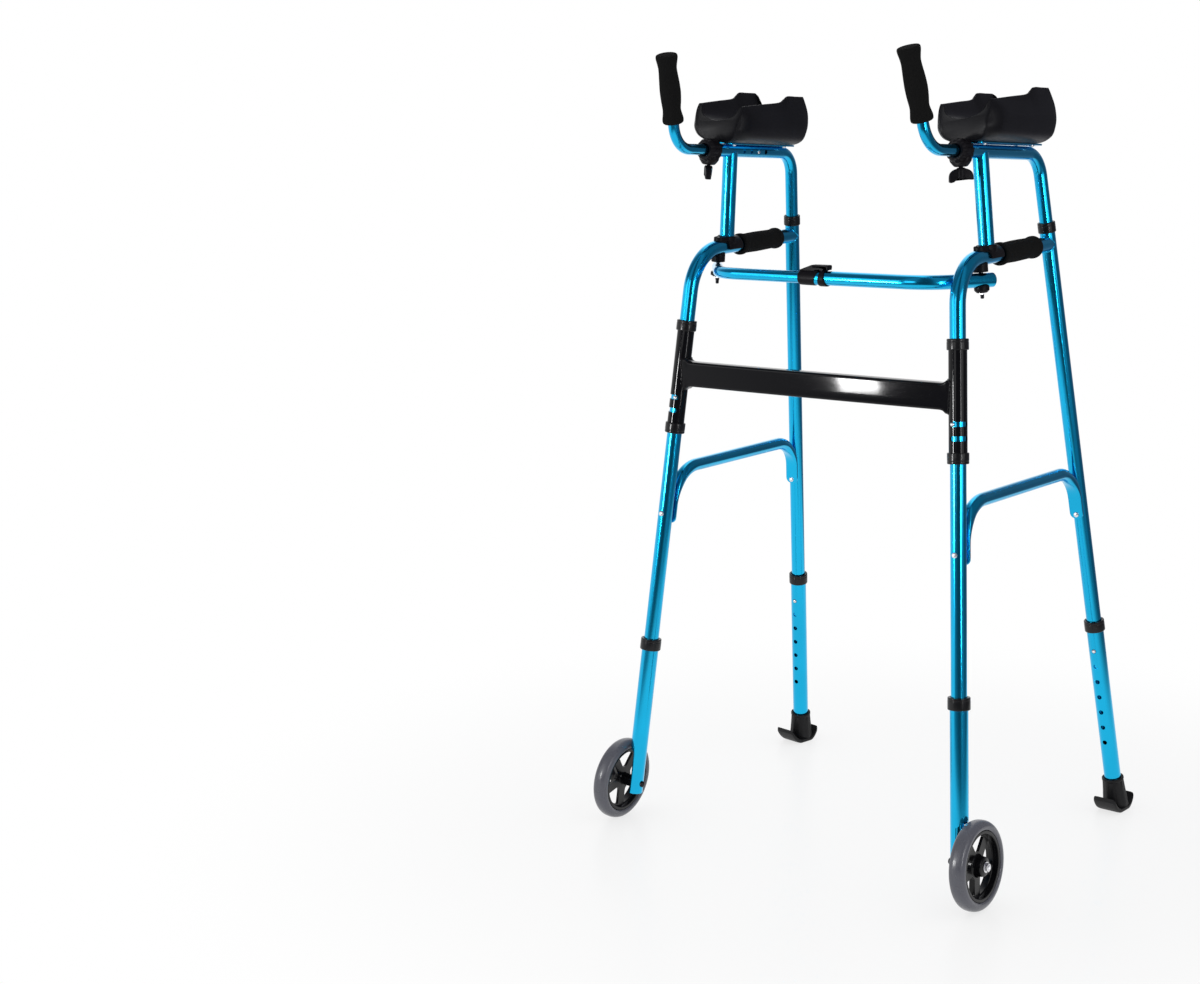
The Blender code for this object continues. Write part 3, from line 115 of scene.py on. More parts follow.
@dataclass(frozen=True)
class CentreLine:
    """Straight centre line of a tube in the plane of a side.

    A standing line runs u = offset + slope * w, and a lying one w = offset + slope * u.
    """

    offset: float
    slope: float
    lying: bool = False

    def at(self, value: float | Sequence[float]) -> Array:
        """Point of the line at a height w, or at a depth u where the line lies.

        Args:
            value: one number or several, in millimetres.

        Returns:
            The point, or one point per number, as (n, u, w).
        """
        value = np.asarray(value, float)
        other = self.offset + self.slope * value
        pair = (value, other) if self.lying else (other, value)
        return np.stack([np.zeros_like(value), *pair], axis=-1)

    @property
    def way(self) -> Array:
        """Direction of the line, upwards or rearwards."""
        return unit(self.at(1.0) - self.at(0.0))

    @property
    def square(self) -> Array:
        """Direction square to the line: up from a lying one, forwards from a standing one."""
        return np.cross(OUT, self.way)

    def shifted(self, by: float) -> "CentreLine":
        """A standing line moved rearwards by a distance square to it."""
        return CentreLine(self.offset + by * math.hypot(1, self.slope), self.slope)

    def meet(self, other: "CentreLine") -> Array:
        """Point where this line crosses one of another slope."""
        both = np.stack([self.way[1:], -other.way[1:]], axis=1)
        return self.at(0.0) + self.way * np.linalg.solve(both, (other.at(0.0) - self.at(0.0))[1:])[0]


FRONT = CentreLine(-150.0, 0.0837)
REAR = CentreLine(350.95, -0.1784)
HANDLE = CentreLine(878.8, 0.039, True)
PLATFORM = CentreLine(1021.6, -0.036, True)
HANDLE_FRONT, HANDLE_REAR = FRONT.meet(HANDLE), REAR.meet(HANDLE)
PLATFORM_REAR = REAR.meet(PLATFORM)


class Axes:
    """A set of axes in millimetres, and the way from it to the frame's metres."""

    def __init__(self, hand: Hand | None = None) -> None:
        """Takes the axes of one side, or the walker's own without a hand.

        Args:
            hand: which side.
        """
        self.basis, self.origin = np.eye(3), np.zeros(3)
        if hand:
            s = hand.value
            across, along = unit((1, -s * TOE, s * LEAN)), unit((s * TOE, 1, 0))
            self.basis = np.stack([s * across, along, np.cross(across, along)])
            self.origin = np.array([s * HALF_WIDTH, 0.0, 0.0])

    def walker(self, points: Array) -> Array:
        """Points of these axes in the walker's axes, in millimetres."""
        return np.asarray(points, float) @ self.basis + self.origin

    def local(self, points: Array) -> Array:
        """Points of the walker's axes in these axes, in millimetres."""
        return (np.asarray(points, float) - self.origin) @ self.basis.T

    def place(self, points: Array) -> Array:
        """Points of these axes in the frame, in metres."""
        return (self.walker(points) - np.array([0, FOOTPRINT_MIDDLE, 0])) * MM

    def turn(self, vector: Array) -> Array:
        """Direction of these axes in the frame."""
        return np.asarray(vector, float) @ self.basis


@dataclass
class Shell:
    """Points and faces of one surface, in millimetres."""

    points: Array
    faces: list[tuple[int, ...]]

    def __add__(self, other: "Shell") -> "Shell":
        """Both surfaces as one."""
        more = [tuple(i + len(self.points) for i in face) for face in other.faces]
        return Shell(np.concatenate([self.points, other.points]), self.faces + more)


def skin(rings: Array, looped: bool = False) -> Shell:
    """Faces between rows of points, closed round each row.

    Args:
        rings: points as rows x columns x 3.
        looped: True joins the last row to the first, and False caps both ends.

    Returns:
        The closed surface.
    """
    rows, cols = rings.shape[:2]
    index = np.arange(rows * cols).reshape(rows, cols)
    low = index if looped else index[:-1]
    high = np.roll(index, -1, 0) if looped else index[1:]
    quads = np.stack([low, np.roll(low, -1, 1), np.roll(high, -1, 1), high], -1).reshape(-1, 4)
    faces = [tuple(quad) for quad in quads.tolist()]
    if not looped:
        faces += [tuple(index[0][::-1].tolist()), tuple(index[-1].tolist())]
    return Shell(rings.reshape(-1, 3), faces)


def bent(corners: Sequence[Array], radii: Sequence[float], step: float = 4.0) -> Array:
    """Line through corners with a circular arc of the given radius at each inner one.

    The arc is centre + spoke * cos(a) + travel * radius * sin(a) from one straight to the next.

    Args:
        corners: points from end to end.
        radii: one for each inner corner.
        step: degrees of turn between an arc's points.

    Returns:
        The points of the line.
    """
    points = [np.asarray(corners[0], float)[None]]
    for before, corner, after, radius in zip(corners, corners[1:], corners[2:], radii):
        back, on = unit(before - corner), unit(after - corner)
        turn = math.pi - math.acos(float(np.clip(back @ on, -1, 1)))
        tangent = radius * math.tan(turn / 2)
        centre = corner + unit(back + on) * math.hypot(radius, tangent)
        spoke = corner + back * tangent - centre
        a = np.linspace(0, turn, max(3, round(math.degrees(turn) / step)) + 1)[:, None]
        points.append(centre + np.cos(a) * spoke - np.sin(a) * radius * back)
    points.append(np.asarray(corners[-1], float)[None])
    return np.concatenate(points)


def soften(corners: Sequence[Sequence[float]], radius: float, steps: int, closed: bool = True) -> Array:
    """Outline whose corners are rounded by quadratic curves of about the given radius.

    Each corner c becomes (1-t)^2 p + 2t(1-t) c + t^2 q, with p and q on its two edges.

    Args:
        corners: (a, b) pairs.
        radius: way from a corner to p and q, at most 0.48 of the edge.
        steps: points on each curve.
        closed: False keeps the two end points.

    Returns:
        The rounded outline.
    """
    pts = np.asarray(corners, float)
    before, after = np.roll(pts, 1, 0), np.roll(pts, -1, 0)
    back, on = (np.linalg.norm(near - pts, axis=1, keepdims=True) for near in (before, after))
    reach = np.minimum(radius, 0.48 * np.minimum(back, on))
    p = pts + (before - pts) / np.maximum(back, TINY) * reach
    q = pts + (after - pts) / np.maximum(on, TINY) * reach
    if not closed:
        p[0] = q[0] = pts[0]
        p[-1] = q[-1] = pts[-1]
    t = np.linspace(0, 1, steps)[None, :, None]
    curve = (1 - t) ** 2 * p[:, None] + 2 * t * (1 - t) * pts[:, None] + t ** 2 * q[:, None]
    flat = curve.reshape(-1, 2)
    keep = np.linalg.norm(flat - np.roll(flat, 1, 0), axis=1) > 1e-4
    if not closed:
        keep[0] = True
    return flat[keep]


def arc(radius: float | Array, turns: Array) -> Array:
    """Points (r cos t, r sin t) at these turns; with an array of radii, one row each."""
    return np.asarray(radius, float)[..., None, None] * np.stack([np.cos(turns), np.sin(turns)], -1)


def disc(radius: float | Array, count: int = ROUND) -> Array:
    """Circle as (a, b) pairs; with an array of radii, one circle each."""
    return arc(radius, np.linspace(0, 2 * np.pi, count, endpoint=False))


def carry(path: Array, normal: Array, sections: Array) -> Shell:
    """Sections carried along a path that stays in the plane with this normal.

    A point is path + a * normal + b * (tangent x normal), for each (a, b) of its section.

    Args:
        path: k points.
        normal: direction square to the whole path.
        sections: one section of (a, b) pairs, or one for each point.

    Returns:
        The capped surface.
    """
    return skin(stations(path, normal, sections))


def stations(path: Array, normal: Array, sections: Array) -> Array:
    """Rows of points that carry() skins.

    Args:
        path, normal, sections: as there.

    Returns:
        One row for each point of the path.
    """
    steps = np.diff(path, axis=0)
    steps /= np.linalg.norm(steps, axis=1)[:, None]
    tangent = np.concatenate([steps[:1], steps[:-1] + steps[1:], steps[-1:]])
    tangent /= np.linalg.norm(tangent, axis=1)[:, None]
    side = np.cross(tangent, normal)
    sections = np.broadcast_to(sections, (len(path), *np.shape(sections)[-2:]))
    return (path[:, None] + sections[..., :1] * np.asarray(normal)
            + sections[..., 1:] * side[:, None])


def tube(path: Array, radius: float, bore: float = 0.0, normal: Array = OUT) -> Shell:
    """Round bar along a path, or an open tube with a softly broken edge where it has a bore.

    Args:
        path: its centre line.
        radius, bore: outer and inner radius.
        normal: direction square to the path.

    Returns:
        The closed surface.
    """
    if not bore:
        return carry(path, normal, disc(radius))
    edge = 0.35
    ends = np.array([radius - edge, radius])
    first, last = unit(path[1] - path[0]) * edge, unit(path[-1] - path[-2]) * edge
    line = np.concatenate([path[:1], path[:1] + first, path[1:-1], path[-1:] - last, path[-1:]])
    outer = np.concatenate([ends, np.full(len(line) - 4, radius), ends[::-1]])
    there = stations(line, normal, disc(outer))
    back = stations(path, normal, disc(bore))[::-1]
    return skin(np.concatenate([there, back]), looped=True)


def turned(profile: Sequence[Sequence[float]] | Array, origin: Array, axis: Array,
           across: Array = OUT, hollow: bool = True, count: int = ROUND) -> Shell:
    """Profile of (radius, height) pairs turned about an axis.

    A point is origin + axis * height + radius * (cos t * side + sin t * other).

    Args:
        profile: a closed ring of pairs where the piece is hollow, or else from end to end.
        origin: point of the axis at height 0.
        axis: direction of the axis.
        across: direction that the first point of each ring looks to.
        hollow: True where the profile closes on itself.
        count: points in each ring.

    Returns:
        The closed surface.
    """
    profile = np.maximum(np.asarray(profile, float), [[0.02, -1e9]])
    axis = unit(axis)
    side = unit(across - axis * (across @ axis))
    other = np.cross(axis, side)
    ring = disc(profile[:, 0], count)
    rings = (np.asarray(origin) + profile[:, 1, None, None] * axis
             + ring[..., :1] * side + ring[..., 1:] * other)
    return skin(rings, looped=hollow)


def grown(outline: Array, by: float) -> Array:
    """Outline moved outwards by a distance along its own corner normals.

    Args:
        outline: (a, b) pairs.
        by: the distance; a negative one moves it inwards.

    Returns:
        The moved outline.
    """
    edge = np.roll(outline, -1, 0) - outline
    length = np.maximum(np.linalg.norm(edge, axis=1, keepdims=True), TINY)
    normal = np.stack([edge[:, 1], -edge[:, 0]], -1) / length
    both = normal + np.roll(normal, 1, 0)
    both /= np.maximum(np.linalg.norm(both, axis=1, keepdims=True), TINY)
    (a, b), (c, d) = outline.T, np.roll(outline, -1, 0).T
    area = np.sum(a * d - c * b)
    return outline + both * (by if area > 0 else -by)


def slab(outline: Array, half: float, edge: float, origin: Array, x: Array, z: Array) -> Shell:
    """Flat outline made solid to both sides, with its edges rounded.

    A point is origin + x * a + z * b + (z cross x) * depth; near both faces the outline
    shrinks by edge * (1 - cos t) while the depth grows by edge * sin t.

    Args:
        outline: (a, b) pairs.
        half: half of the thickness.
        edge: radius of the rounded edge.
        origin, x, z: where the outline lies.

    Returns:
        The closed surface.
    """
    t = np.linspace(0, math.pi / 2, 5)
    depth = np.concatenate([-half + edge * (1 - np.cos(t)), half - edge * (1 - np.cos(t[::-1]))])
    inset = np.concatenate([edge * (1 - np.sin(t)), edge * (1 - np.sin(t[::-1]))])
    rings = np.stack([grown(outline, -float(i)) for i in inset])
    x, z = unit(x), unit(z)
    y = np.cross(z, x)
    points = (np.asarray(origin) + rings[..., :1] * x + rings[..., 1:] * z
              + depth[:, None, None] * y)
    return skin(points)


class Level:
    """A number that comes out of a node; arithmetic on it adds Math nodes."""

    def __init__(self, bench: "Bench", socket: Socket) -> None:
        """Wraps an output socket of the bench's tree."""
        self.bench, self.socket = bench, socket

    def _math(self, operation: str, first: Any, second: Any) -> "Level":
        """Math node with this operation on two values."""
        return self.bench.level("ShaderNodeMath", {"operation": operation}, {0: first, 1: second})

    def __add__(self, other: Any) -> "Level":
        """Sum of this and another value."""
        return self._math("ADD", self, other)

    def __sub__(self, other: Any) -> "Level":
        """This value less another."""
        return self._math("SUBTRACT", self, other)

    def __rsub__(self, other: Any) -> "Level":
        """Another value less this one."""
        return self._math("SUBTRACT", other, self)

    def __mul__(self, other: Any) -> "Level":
        """Product of this and another value."""
        return self._math("MULTIPLY", self, other)

    __radd__, __rmul__ = __add__, __mul__

    def spread(self, low: float, high: float, to_low: float = 0.0, to_high: float = 1.0) -> "Level":
        """This value stretched smoothly and clamped from one range to another."""
        ends: Inputs = {0: self, 1: low, 2: high, 3: to_low, 4: to_high}
        return self.bench.level("ShaderNodeMapRange", {"interpolation_type": "SMOOTHSTEP"}, ends)


class Bench:
    """Node tree that a material or the world is put together on."""

    def __init__(self, tree: bpy.types.NodeTree) -> None:
        """Takes a tree and empties it."""
        self.tree = tree
        tree.nodes.clear()

    def node(self, kind: str, settings: dict[str, Any] | None = None,
             inputs: Inputs | None = None) -> bpy.types.Node:
        """Adds one node.

        Args:
            kind: Blender's name of the node type.
            settings: attributes that are set first; stops gives a ramp's (place, colour) pairs.
            inputs: values, sockets or levels for its inputs, by number or name.

        Returns:
            The node.
        """
        node = self.tree.nodes.new(kind)
        for key, value in (settings or {}).items():
            if key == "stops":
                ramp = node.color_ramp
                while len(ramp.elements) < len(value):
                    ramp.elements.new(0.5)
                for element, (place, colour) in zip(ramp.elements, value):
                    element.position, element.color = place, (*colour, 1.0)
            else:
                setattr(node, key, value)
        for key, value in (inputs or {}).items():
            if isinstance(value, Level):
                value = value.socket
            if isinstance(value, Socket):
                self.tree.links.new(value, node.inputs[key])
            elif isinstance(value, tuple) and len(value) == 3 and node.inputs[key].type == "RGBA":
                node.inputs[key].default_value = (*value, 1.0)
            else:
                node.inputs[key].default_value = value
        return node

    def level(self, kind: str, settings: dict[str, Any], inputs: Inputs) -> Level:
        """First output of a new node, as a number."""
        return Level(self, self.node(kind, settings, inputs).outputs[0])

    def place(self) -> Socket:
        """The piece's object coordinates."""
        return self.node("ShaderNodeTexCoord").outputs["Object"]

    def run(self, scale: tuple[float, float, float]) -> Socket:
        """The piece's place on a straightened tube, scaled."""
        source = self.node("ShaderNodeAttribute", {"attribute_name": "run"}).outputs["Vector"]
        return self.node("ShaderNodeMapping", {}, {"Vector": source, "Scale": scale}).outputs["Vector"]

    def noise(self, where: Socket, scale: float, detail: float, rough: float = 0.5) -> Level:
        """Fractal noise from 0 to 1 at a place."""
        inputs = {"Vector": where, "Scale": scale, "Detail": detail, "Roughness": rough}
        return self.level("ShaderNodeTexNoise", {}, inputs)

    def cells(self, where: Socket, scale: float, feature: str = "F1") -> Level:
        """Distance to the cells of a Voronoi pattern at a place."""
        return self.level("ShaderNodeTexVoronoi", {"feature": feature}, {"Vector": where, "Scale": scale})

    def blend(self, share: Any, first: Any, second: Any) -> Socket:
        """Colour between two, by a share from 0 to 1."""
        node = self.node("ShaderNodeMix", {"data_type": "RGBA"}, {0: share, 6: first, 7: second})
        return node.outputs[2]

    def either(self, share: Any, first: bpy.types.Node, second: bpy.types.Node) -> bpy.types.Node:
        """One shader at a share of 0, and the other at 1."""
        return self.node("ShaderNodeMixShader", {}, {0: share, 1: first.outputs[0], 2: second.outputs[0]})

    def bump(self, height: Level, distance: float, strength: float) -> Socket:
        """Normal of a surface raised by a height from 0 to 1 times a distance in metres."""
        inputs = {"Height": height, "Distance": distance, "Strength": strength}
        return self.node("ShaderNodeBump", {}, inputs).outputs["Normal"]


def shaded(colour: Colour, by: float) -> Colour:
    """Colour made lighter or darker by a factor."""
    return tuple(min(1.0, c * by) for c in colour)  # type: ignore[return-value]


@dataclass(frozen=True)
class Finish:
    """Shared part of every finish: its slot, colour and gloss."""

    name: str
    slot: Slot
    colour: Colour
    roughness: float = 0.4
    metallic: float = 0.0
    coat: float = 0.0
    coat_roughness: float = 0.08
    specular: float = 0.5

    def material(self) -> bpy.types.Material:
        """Builds the material on its own bench.

        Returns:
            The material, named as the finish.
        """
        made = bpy.data.materials.new(self.name)
        made.use_nodes = True
        made.diffuse_color = (*self.colour, 1.0)
        bench = Bench(made.node_tree)
        fixed = {"Base Color": self.colour, "Roughness": self.roughness, "Metallic": self.metallic,
                 "Coat Weight": self.coat, "Coat Roughness": self.coat_roughness,
                 "Specular IOR Level": self.specular}
        shader = bench.node("ShaderNodeBsdfPrincipled", {}, {**fixed, **self.pattern(bench)})
        bench.node("ShaderNodeOutputMaterial", {}, {"Surface": shader.outputs[0]})
        return made

    def pattern(self, bench: Bench) -> Inputs:
        """Sockets of the shader that vary over the surface."""
        raise NotImplementedError


@dataclass(frozen=True)
class Anodised(Finish):
    """Bright dyed aluminium: fine die lines along the tube, and faint cloudy dye."""

    def pattern(self, bench: Bench) -> Inputs:
        """Die lines are noise drawn out along the run of the tube.

        Args:
            bench: the material's bench.

        Returns:
            Values for the shader's inputs.
        """
        lines = bench.noise(bench.run((1.0, 1.0, 0.006)), 900.0, 2.0)
        cloud = bench.noise(bench.place(), 9.0, 3.0)
        dye = bench.blend(cloud.spread(0.3, 0.7), shaded(self.colour, 0.93), shaded(self.colour, 1.05))
        return {"Base Color": dye, "Roughness": self.roughness + (lines - 0.5) * 0.03}


@dataclass(frozen=True)
class GlossPaint(Finish):
    """Thick black paint with the faint ripple that a sprayed coat keeps."""

    def pattern(self, bench: Bench) -> Inputs:
        """Ripple a few millimetres across, and specks of dust in the coat.

        Args:
            bench: the material's bench.

        Returns:
            Values for the shader's inputs.
        """
        where = bench.place()
        ripple = bench.noise(where, 160.0, 2.0)
        speck = bench.noise(where, 1400.0, 1.0).spread(0.62, 0.8)
        return {"Roughness": self.roughness + speck * 0.06,
                "Base Color": bench.blend(speck, self.colour, shaded(self.colour, 2.2)),
                "Normal": bench.bump(ripple, 0.00001, 0.2)}


@dataclass(frozen=True)
class Moulded(Finish):
    """Moulded plastic or rubber with a fine grain and a scuff here and there."""

    grain: float = 1500.0
    depth: float = 0.00006
    wear: float = 1.6

    def pattern(self, bench: Bench) -> Inputs:
        """Grain from fine noise; scuffs are where slow and fast noise both run high.

        Args:
            bench: the material's bench.

        Returns:
            Values for the shader's inputs.
        """
        where = bench.place()
        grain = bench.noise(where, self.grain, 2.0)
        slow = bench.noise(where, 42.0, 4.0)
        scuff = slow.spread(0.52, 0.72) * bench.noise(where, 420.0, 3.0).spread(0.45, 0.75)
        return {"Base Color": bench.blend(scuff, self.colour, shaded(self.colour, self.wear)),
                "Roughness": self.roughness + (slow - 0.5) * 0.12 + scuff * 0.08,
                "Normal": bench.bump(grain, self.depth, 0.6)}


@dataclass(frozen=True)
class Foam(Finish):
    """Closed-cell foam: open pores, darkened with painted shade, in the skin over a soft, uneven surface."""

    pore: float = 1500.0

    def pattern(self, bench: Bench) -> Inputs:
        """Pores are hollows at the middles of the cells of a Voronoi pattern, painted darker as painted
        shade.

        Args:
            bench: the material's bench.

        Returns:
            Values for the shader's inputs.
        """
        where = bench.place()
        pores = bench.cells(where, self.pore)
        lumps = bench.noise(where, 260.0, 4.0, 0.6)
        skin_height = pores.spread(0.1, 0.8) * 0.6 + lumps * 0.8
        # Painted shade: the base colour is darkened in the pore hollows and lighter on the skin between them.
        return {"Base Color": bench.blend(pores.spread(0.15, 0.7), shaded(self.colour, 0.5),
                                          shaded(self.colour, 1.5)),
                "Roughness": self.roughness - lumps * 0.06,
                "Normal": bench.bump(skin_height, 0.00028, 0.6)}


@dataclass(frozen=True)
class PadSkin(Finish):
    """Self-skinned pad: a leathery grain, smoother where the mould was polished."""

    def pattern(self, bench: Bench) -> Inputs:
        """Grain from the borders of small cells; slow noise drifts the tone and the gloss.

        Args:
            bench: the material's bench.

        Returns:
            Values for the shader's inputs.
        """
        where = bench.place()
        warped = bench.noise(where, 320.0, 3.0)
        grain = bench.cells(where, 620.0, "DISTANCE_TO_EDGE").spread(0.0, 0.12)
        slow = bench.noise(where, 14.0, 3.0)
        return {"Base Color": bench.blend(slow.spread(0.35, 0.7), self.colour, shaded(self.colour, 1.35)),
                "Roughness": self.roughness + (slow - 0.5) * 0.16 + (1 - grain) * 0.1,
                "Normal": bench.bump(grain * 0.5 + warped * 0.5, 0.00009, 0.5)}


@dataclass(frozen=True)
class Plated(Finish):
    """Zinc plated steel, with fine tool marks and slightly uneven gloss."""

    def pattern(self, bench: Bench) -> Inputs:
        """Tool marks are fine noise; the plating's tone drifts slowly.

        Args:
            bench: the material's bench.

        Returns:
            Values for the shader's inputs.
        """
        where = bench.place()
        marks = bench.noise(where, 2400.0, 2.0)
        drift = bench.noise(where, 120.0, 2.0)
        return {"Base Color": bench.blend(drift, shaded(self.colour, 0.86), self.colour),
                "Roughness": self.roughness + (marks - 0.5) * 0.1,
                "Normal": bench.bump(marks, 0.00003, 0.5)}


BLUE = Anodised("anodised_blue", Slot.TUBE, (0.003, 0.46, 0.79), 0.17, 1.0, 0.3, 0.12)
PAINT = GlossPaint("gloss_black_paint", Slot.PAINT, (0.004, 0.004, 0.005), 0.06, specular=0.2)
COLLAR = Moulded("satin_black_collar", Slot.PLASTIC, (0.007, 0.007, 0.008), 0.24, specular=0.3, depth=0.00002)
MATTE = Moulded("matte_black_nylon", Slot.PLASTIC, (0.007, 0.006, 0.008), 0.4, specular=0.1, grain=900.0)
RIM = Moulded("gloss_black_rim", Slot.PLASTIC, (0.004, 0.004, 0.005), 0.18, specular=0.25, depth=0.00003)
FOAM = Foam("black_grip_foam", Slot.FOAM, (0.007, 0.007, 0.007), 0.95, specular=0.06)
PAD = PadSkin("black_pad_skin", Slot.PAD, (0.006, 0.006, 0.008), 0.38, specular=0.14)
RUBBER = Moulded("black_rubber", Slot.RUBBER, (0.009, 0.009, 0.010), 0.5, specular=0.2, grain=700.0,
                 depth=0.0001)
TYRE = Moulded("grey_tyre_urethane", Slot.TYRE, (0.105, 0.107, 0.128), 0.28, depth=0.00003, wear=1.2)
BRIGHT = Plated("bright_zinc", Slot.ZINC, (0.86, 0.86, 0.88), 0.3, 1.0)
DARK_STEEL = Plated("black_oxide_steel", Slot.ZINC, (0.03, 0.03, 0.033), 0.3, 1.0)


class Workshop:
    """Turns shells into pieces that wear a finish and ride on a body."""

    def __init__(self) -> None:
        """Starts with no material made."""
        self.materials: dict[str, bpy.types.Material] = {}

    def worn(self, finish: Finish) -> bpy.types.Material:
        """The finish's material, made once."""
        made = self.materials.get(finish.name) or finish.material()
        return self.materials.setdefault(finish.name, made)

    def mesh(self, name: str, shell: Shell, crease: float = CREASE) -> Thing:
        """Object at the origin from a shell in metres, its faces outwards and smooth.

        Args:
            name: the object's name.
            shell: closed surfaces, in metres.
            crease: edges that bend by more degrees than this stay sharp.

        Returns:
            The object, linked to the scene.
        """
        data = bpy.data.meshes.new(name)
        data.from_pydata(shell.points.tolist(), [], shell.faces)
        shape = bmesh.new()
        shape.from_mesh(data)
        bmesh.ops.remove_doubles(shape, verts=shape.verts, dist=2e-7)
        bmesh.ops.recalc_face_normals(shape, faces=shape.faces)
        shape.to_mesh(data)
        shape.free()
        self.smooth(data, crease)
        thing = bpy.data.objects.new(name, data)
        bpy.context.scene.collection.objects.link(thing)
        return thing

    def smooth(self, data: bpy.types.Mesh, crease: float) -> None:
        """Shades a mesh smooth but for edges sharper than an angle in degrees."""
        data.shade_smooth()
        data.set_sharp_from_angle(angle=math.radians(crease))

    def carve(self, thing: Thing, shells: Sequence[Shell], axes: Axes, crease: float) -> None:
        """Cuts closed shapes out of a piece for good.

        Args:
            thing: the piece.
            shells: the shapes, in the axes' millimetres.
            axes: the axes they are in.
            crease: edges that bend by more degrees than this stay sharp.
        """
        tools = []
        for k, shell in enumerate(shells):
            tool = self.mesh(f"{thing.name}_tool{k}", Shell(axes.place(shell.points), shell.faces))
            modifier = thing.modifiers.new(f"cut{k}", "BOOLEAN")
            modifier.operation, modifier.solver, modifier.object = "DIFFERENCE", "EXACT", tool
            tools.append(tool)
        self.settle(thing)
        for tool in tools:
            bpy.data.objects.remove(tool, do_unlink=True)
        self.smooth(thing.data, crease)

    def settle(self, thing: Thing) -> None:
        """Replaces a piece's mesh by what its modifiers make of it.

        Args:
            thing: the piece.
        """
        bpy.context.view_layer.update()
        shaped = thing.evaluated_get(bpy.context.evaluated_depsgraph_get())
        data = bpy.data.meshes.new_from_object(shaped)
        thing.modifiers.clear()
        old, thing.data = thing.data, data
        bpy.data.meshes.remove(old)

    def along(self, thing: Thing, path: Array, normal: Array) -> None:
        """Writes each point's place on a straightened tube as the run attribute.

        The point's nearest place on the path gives its length; its offset from there gives
        the part along the normal and the part square to it. All are in metres.

        Args:
            thing: the piece.
            path, normal: the tube's centre line and a direction square to it.
        """
        count = len(thing.data.vertices)
        co = np.empty(count * 3, np.float32)
        thing.data.vertices.foreach_get("co", co)
        points = co.reshape(-1, 3).astype(float)
        start, step = path[:-1], np.diff(path, axis=0)
        length = np.linalg.norm(step, axis=1)
        t = np.einsum("vki,ki->vk", points[:, None] - start, step) / length ** 2
        t[:, 1:-1] = np.clip(t[:, 1:-1], 0, 1)
        t[:, 0] = np.minimum(t[:, 0], 1)
        t[:, -1] = np.maximum(t[:, -1], 0)
        near = start + step * t[..., None]
        best = np.argmin(np.linalg.norm(points[:, None] - near, axis=2), axis=1)
        row = np.arange(count)
        offset = points - near[row, best]
        run = np.concatenate([[0], np.cumsum(length)])[best] + t[row, best] * length[best]
        side = np.cross(step[best] / length[best][:, None], normal)
        data = np.stack([offset @ normal, np.sum(offset * side, axis=1), run], -1)
        attribute = thing.data.attributes.new("run", "FLOAT_VECTOR", "POINT")
        attribute.data.foreach_set("vector", data.astype(np.float32).ravel())

    def finish(self, thing: Thing, finish: Finish, body: str,
               replaces: Sequence[str] = ()) -> Thing:
        """Gives a piece its material and body, and hides the nodes that it stands for.

        Args:
            thing: the piece.
            finish: what it is made of.
            body: the body that it rides on.
            replaces: nodes that it stands for.

        Returns:
            The piece.
        """
        thing.data.materials.clear()
        thing.data.materials.append(self.worn(finish))
        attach(thing, body)
        if replaces:
            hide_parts(*replaces)
        log.info("%s on %s: %d faces", thing.name, body, len(thing.data.polygons))
        return thing

    def piece(self, name: str, shell: Shell, axes: Axes, finish: Finish, body: str,
              replaces: Sequence[str] = (), crease: float = CREASE,
              cuts: Sequence[Shell] = (), run: tuple[Array, Array] | None = None) -> Thing:
        """Makes one finished piece from shells in some axes.

        Args:
            name: the piece's name.
            shell: its surfaces, in the axes' millimetres.
            axes: the axes they are in.
            finish: what it is made of.
            body: the body that it rides on.
            replaces: nodes that it stands for.
            crease: edges that bend by more degrees than this stay sharp.
            cuts: closed shapes that are cut out.
            run: path and normal that its run attribute follows.

        Returns:
            The piece.
        """
        thing = self.mesh(name, Shell(axes.place(shell.points), shell.faces), crease)
        if cuts:
            self.carve(thing, cuts, axes, crease)
        if run is not None:
            self.along(thing, axes.place(run[0]), axes.turn(run[1]))
        return self.finish(thing, finish, body, replaces)


def prism(outline: Array, low: float, high: float, origin: Array, x: Array, z: Array) -> Shell:
    """Flat outline in x and z, carried along z cross x from one depth to another.

    Args:
        outline: (a, b) pairs.
        low, high: the two depths.
        origin, x, z: where the outline lies.

    Returns:
        The capped surface.
    """
    x, z = unit(x), unit(z)
    flat = np.asarray(origin) + outline[:, :1] * x + outline[:, 1:] * z
    return skin(np.stack([flat + np.cross(z, x) * depth for depth in (low, high)]))


def peg(start: Array, end: Array, radius: float, count: int = 32) -> Shell:
    """Round bar from one point to another.

    Args:
        start, end: the points.
        radius: its radius.
        count: points in each ring.

    Returns:
        The capped surface.
    """
    way = np.asarray(end, float) - start
    across = OUT if abs(unit(way) @ OUT) < 0.9 else np.array([0.0, 1.0, 0.0])
    return turned([(radius, 0.0), (radius, float(np.linalg.norm(way)))], start, way, across,
                  False, count)


def bead(line: Array, radius: float) -> Shell:
    """Weld bead: a small circle carried round a closed line, a little fatter here and there.

    The circle's radius is radius * (1 + 0.12 * sin(20 t)), with t from 0 to 2 pi round the line.

    Args:
        line: closed row of points.
        radius: mean radius.

    Returns:
        The closed surface.
    """
    tangent = np.roll(line, -1, 0) - np.roll(line, 1, 0)
    tangent /= np.linalg.norm(tangent, axis=1)[:, None]
    out = line - line.mean(0)
    out -= tangent * np.sum(out * tangent, axis=1)[:, None]
    out /= np.linalg.norm(out, axis=1)[:, None]
    side = np.cross(tangent, out)
    t = np.linspace(0, 2 * np.pi, len(line), endpoint=False)
    ring = disc(radius * (1 + 0.12 * np.sin(20 * t)), 10)
    return skin(line[:, None] + ring[..., :1] * out[:, None] + ring[..., 1:] * side[:, None], True)


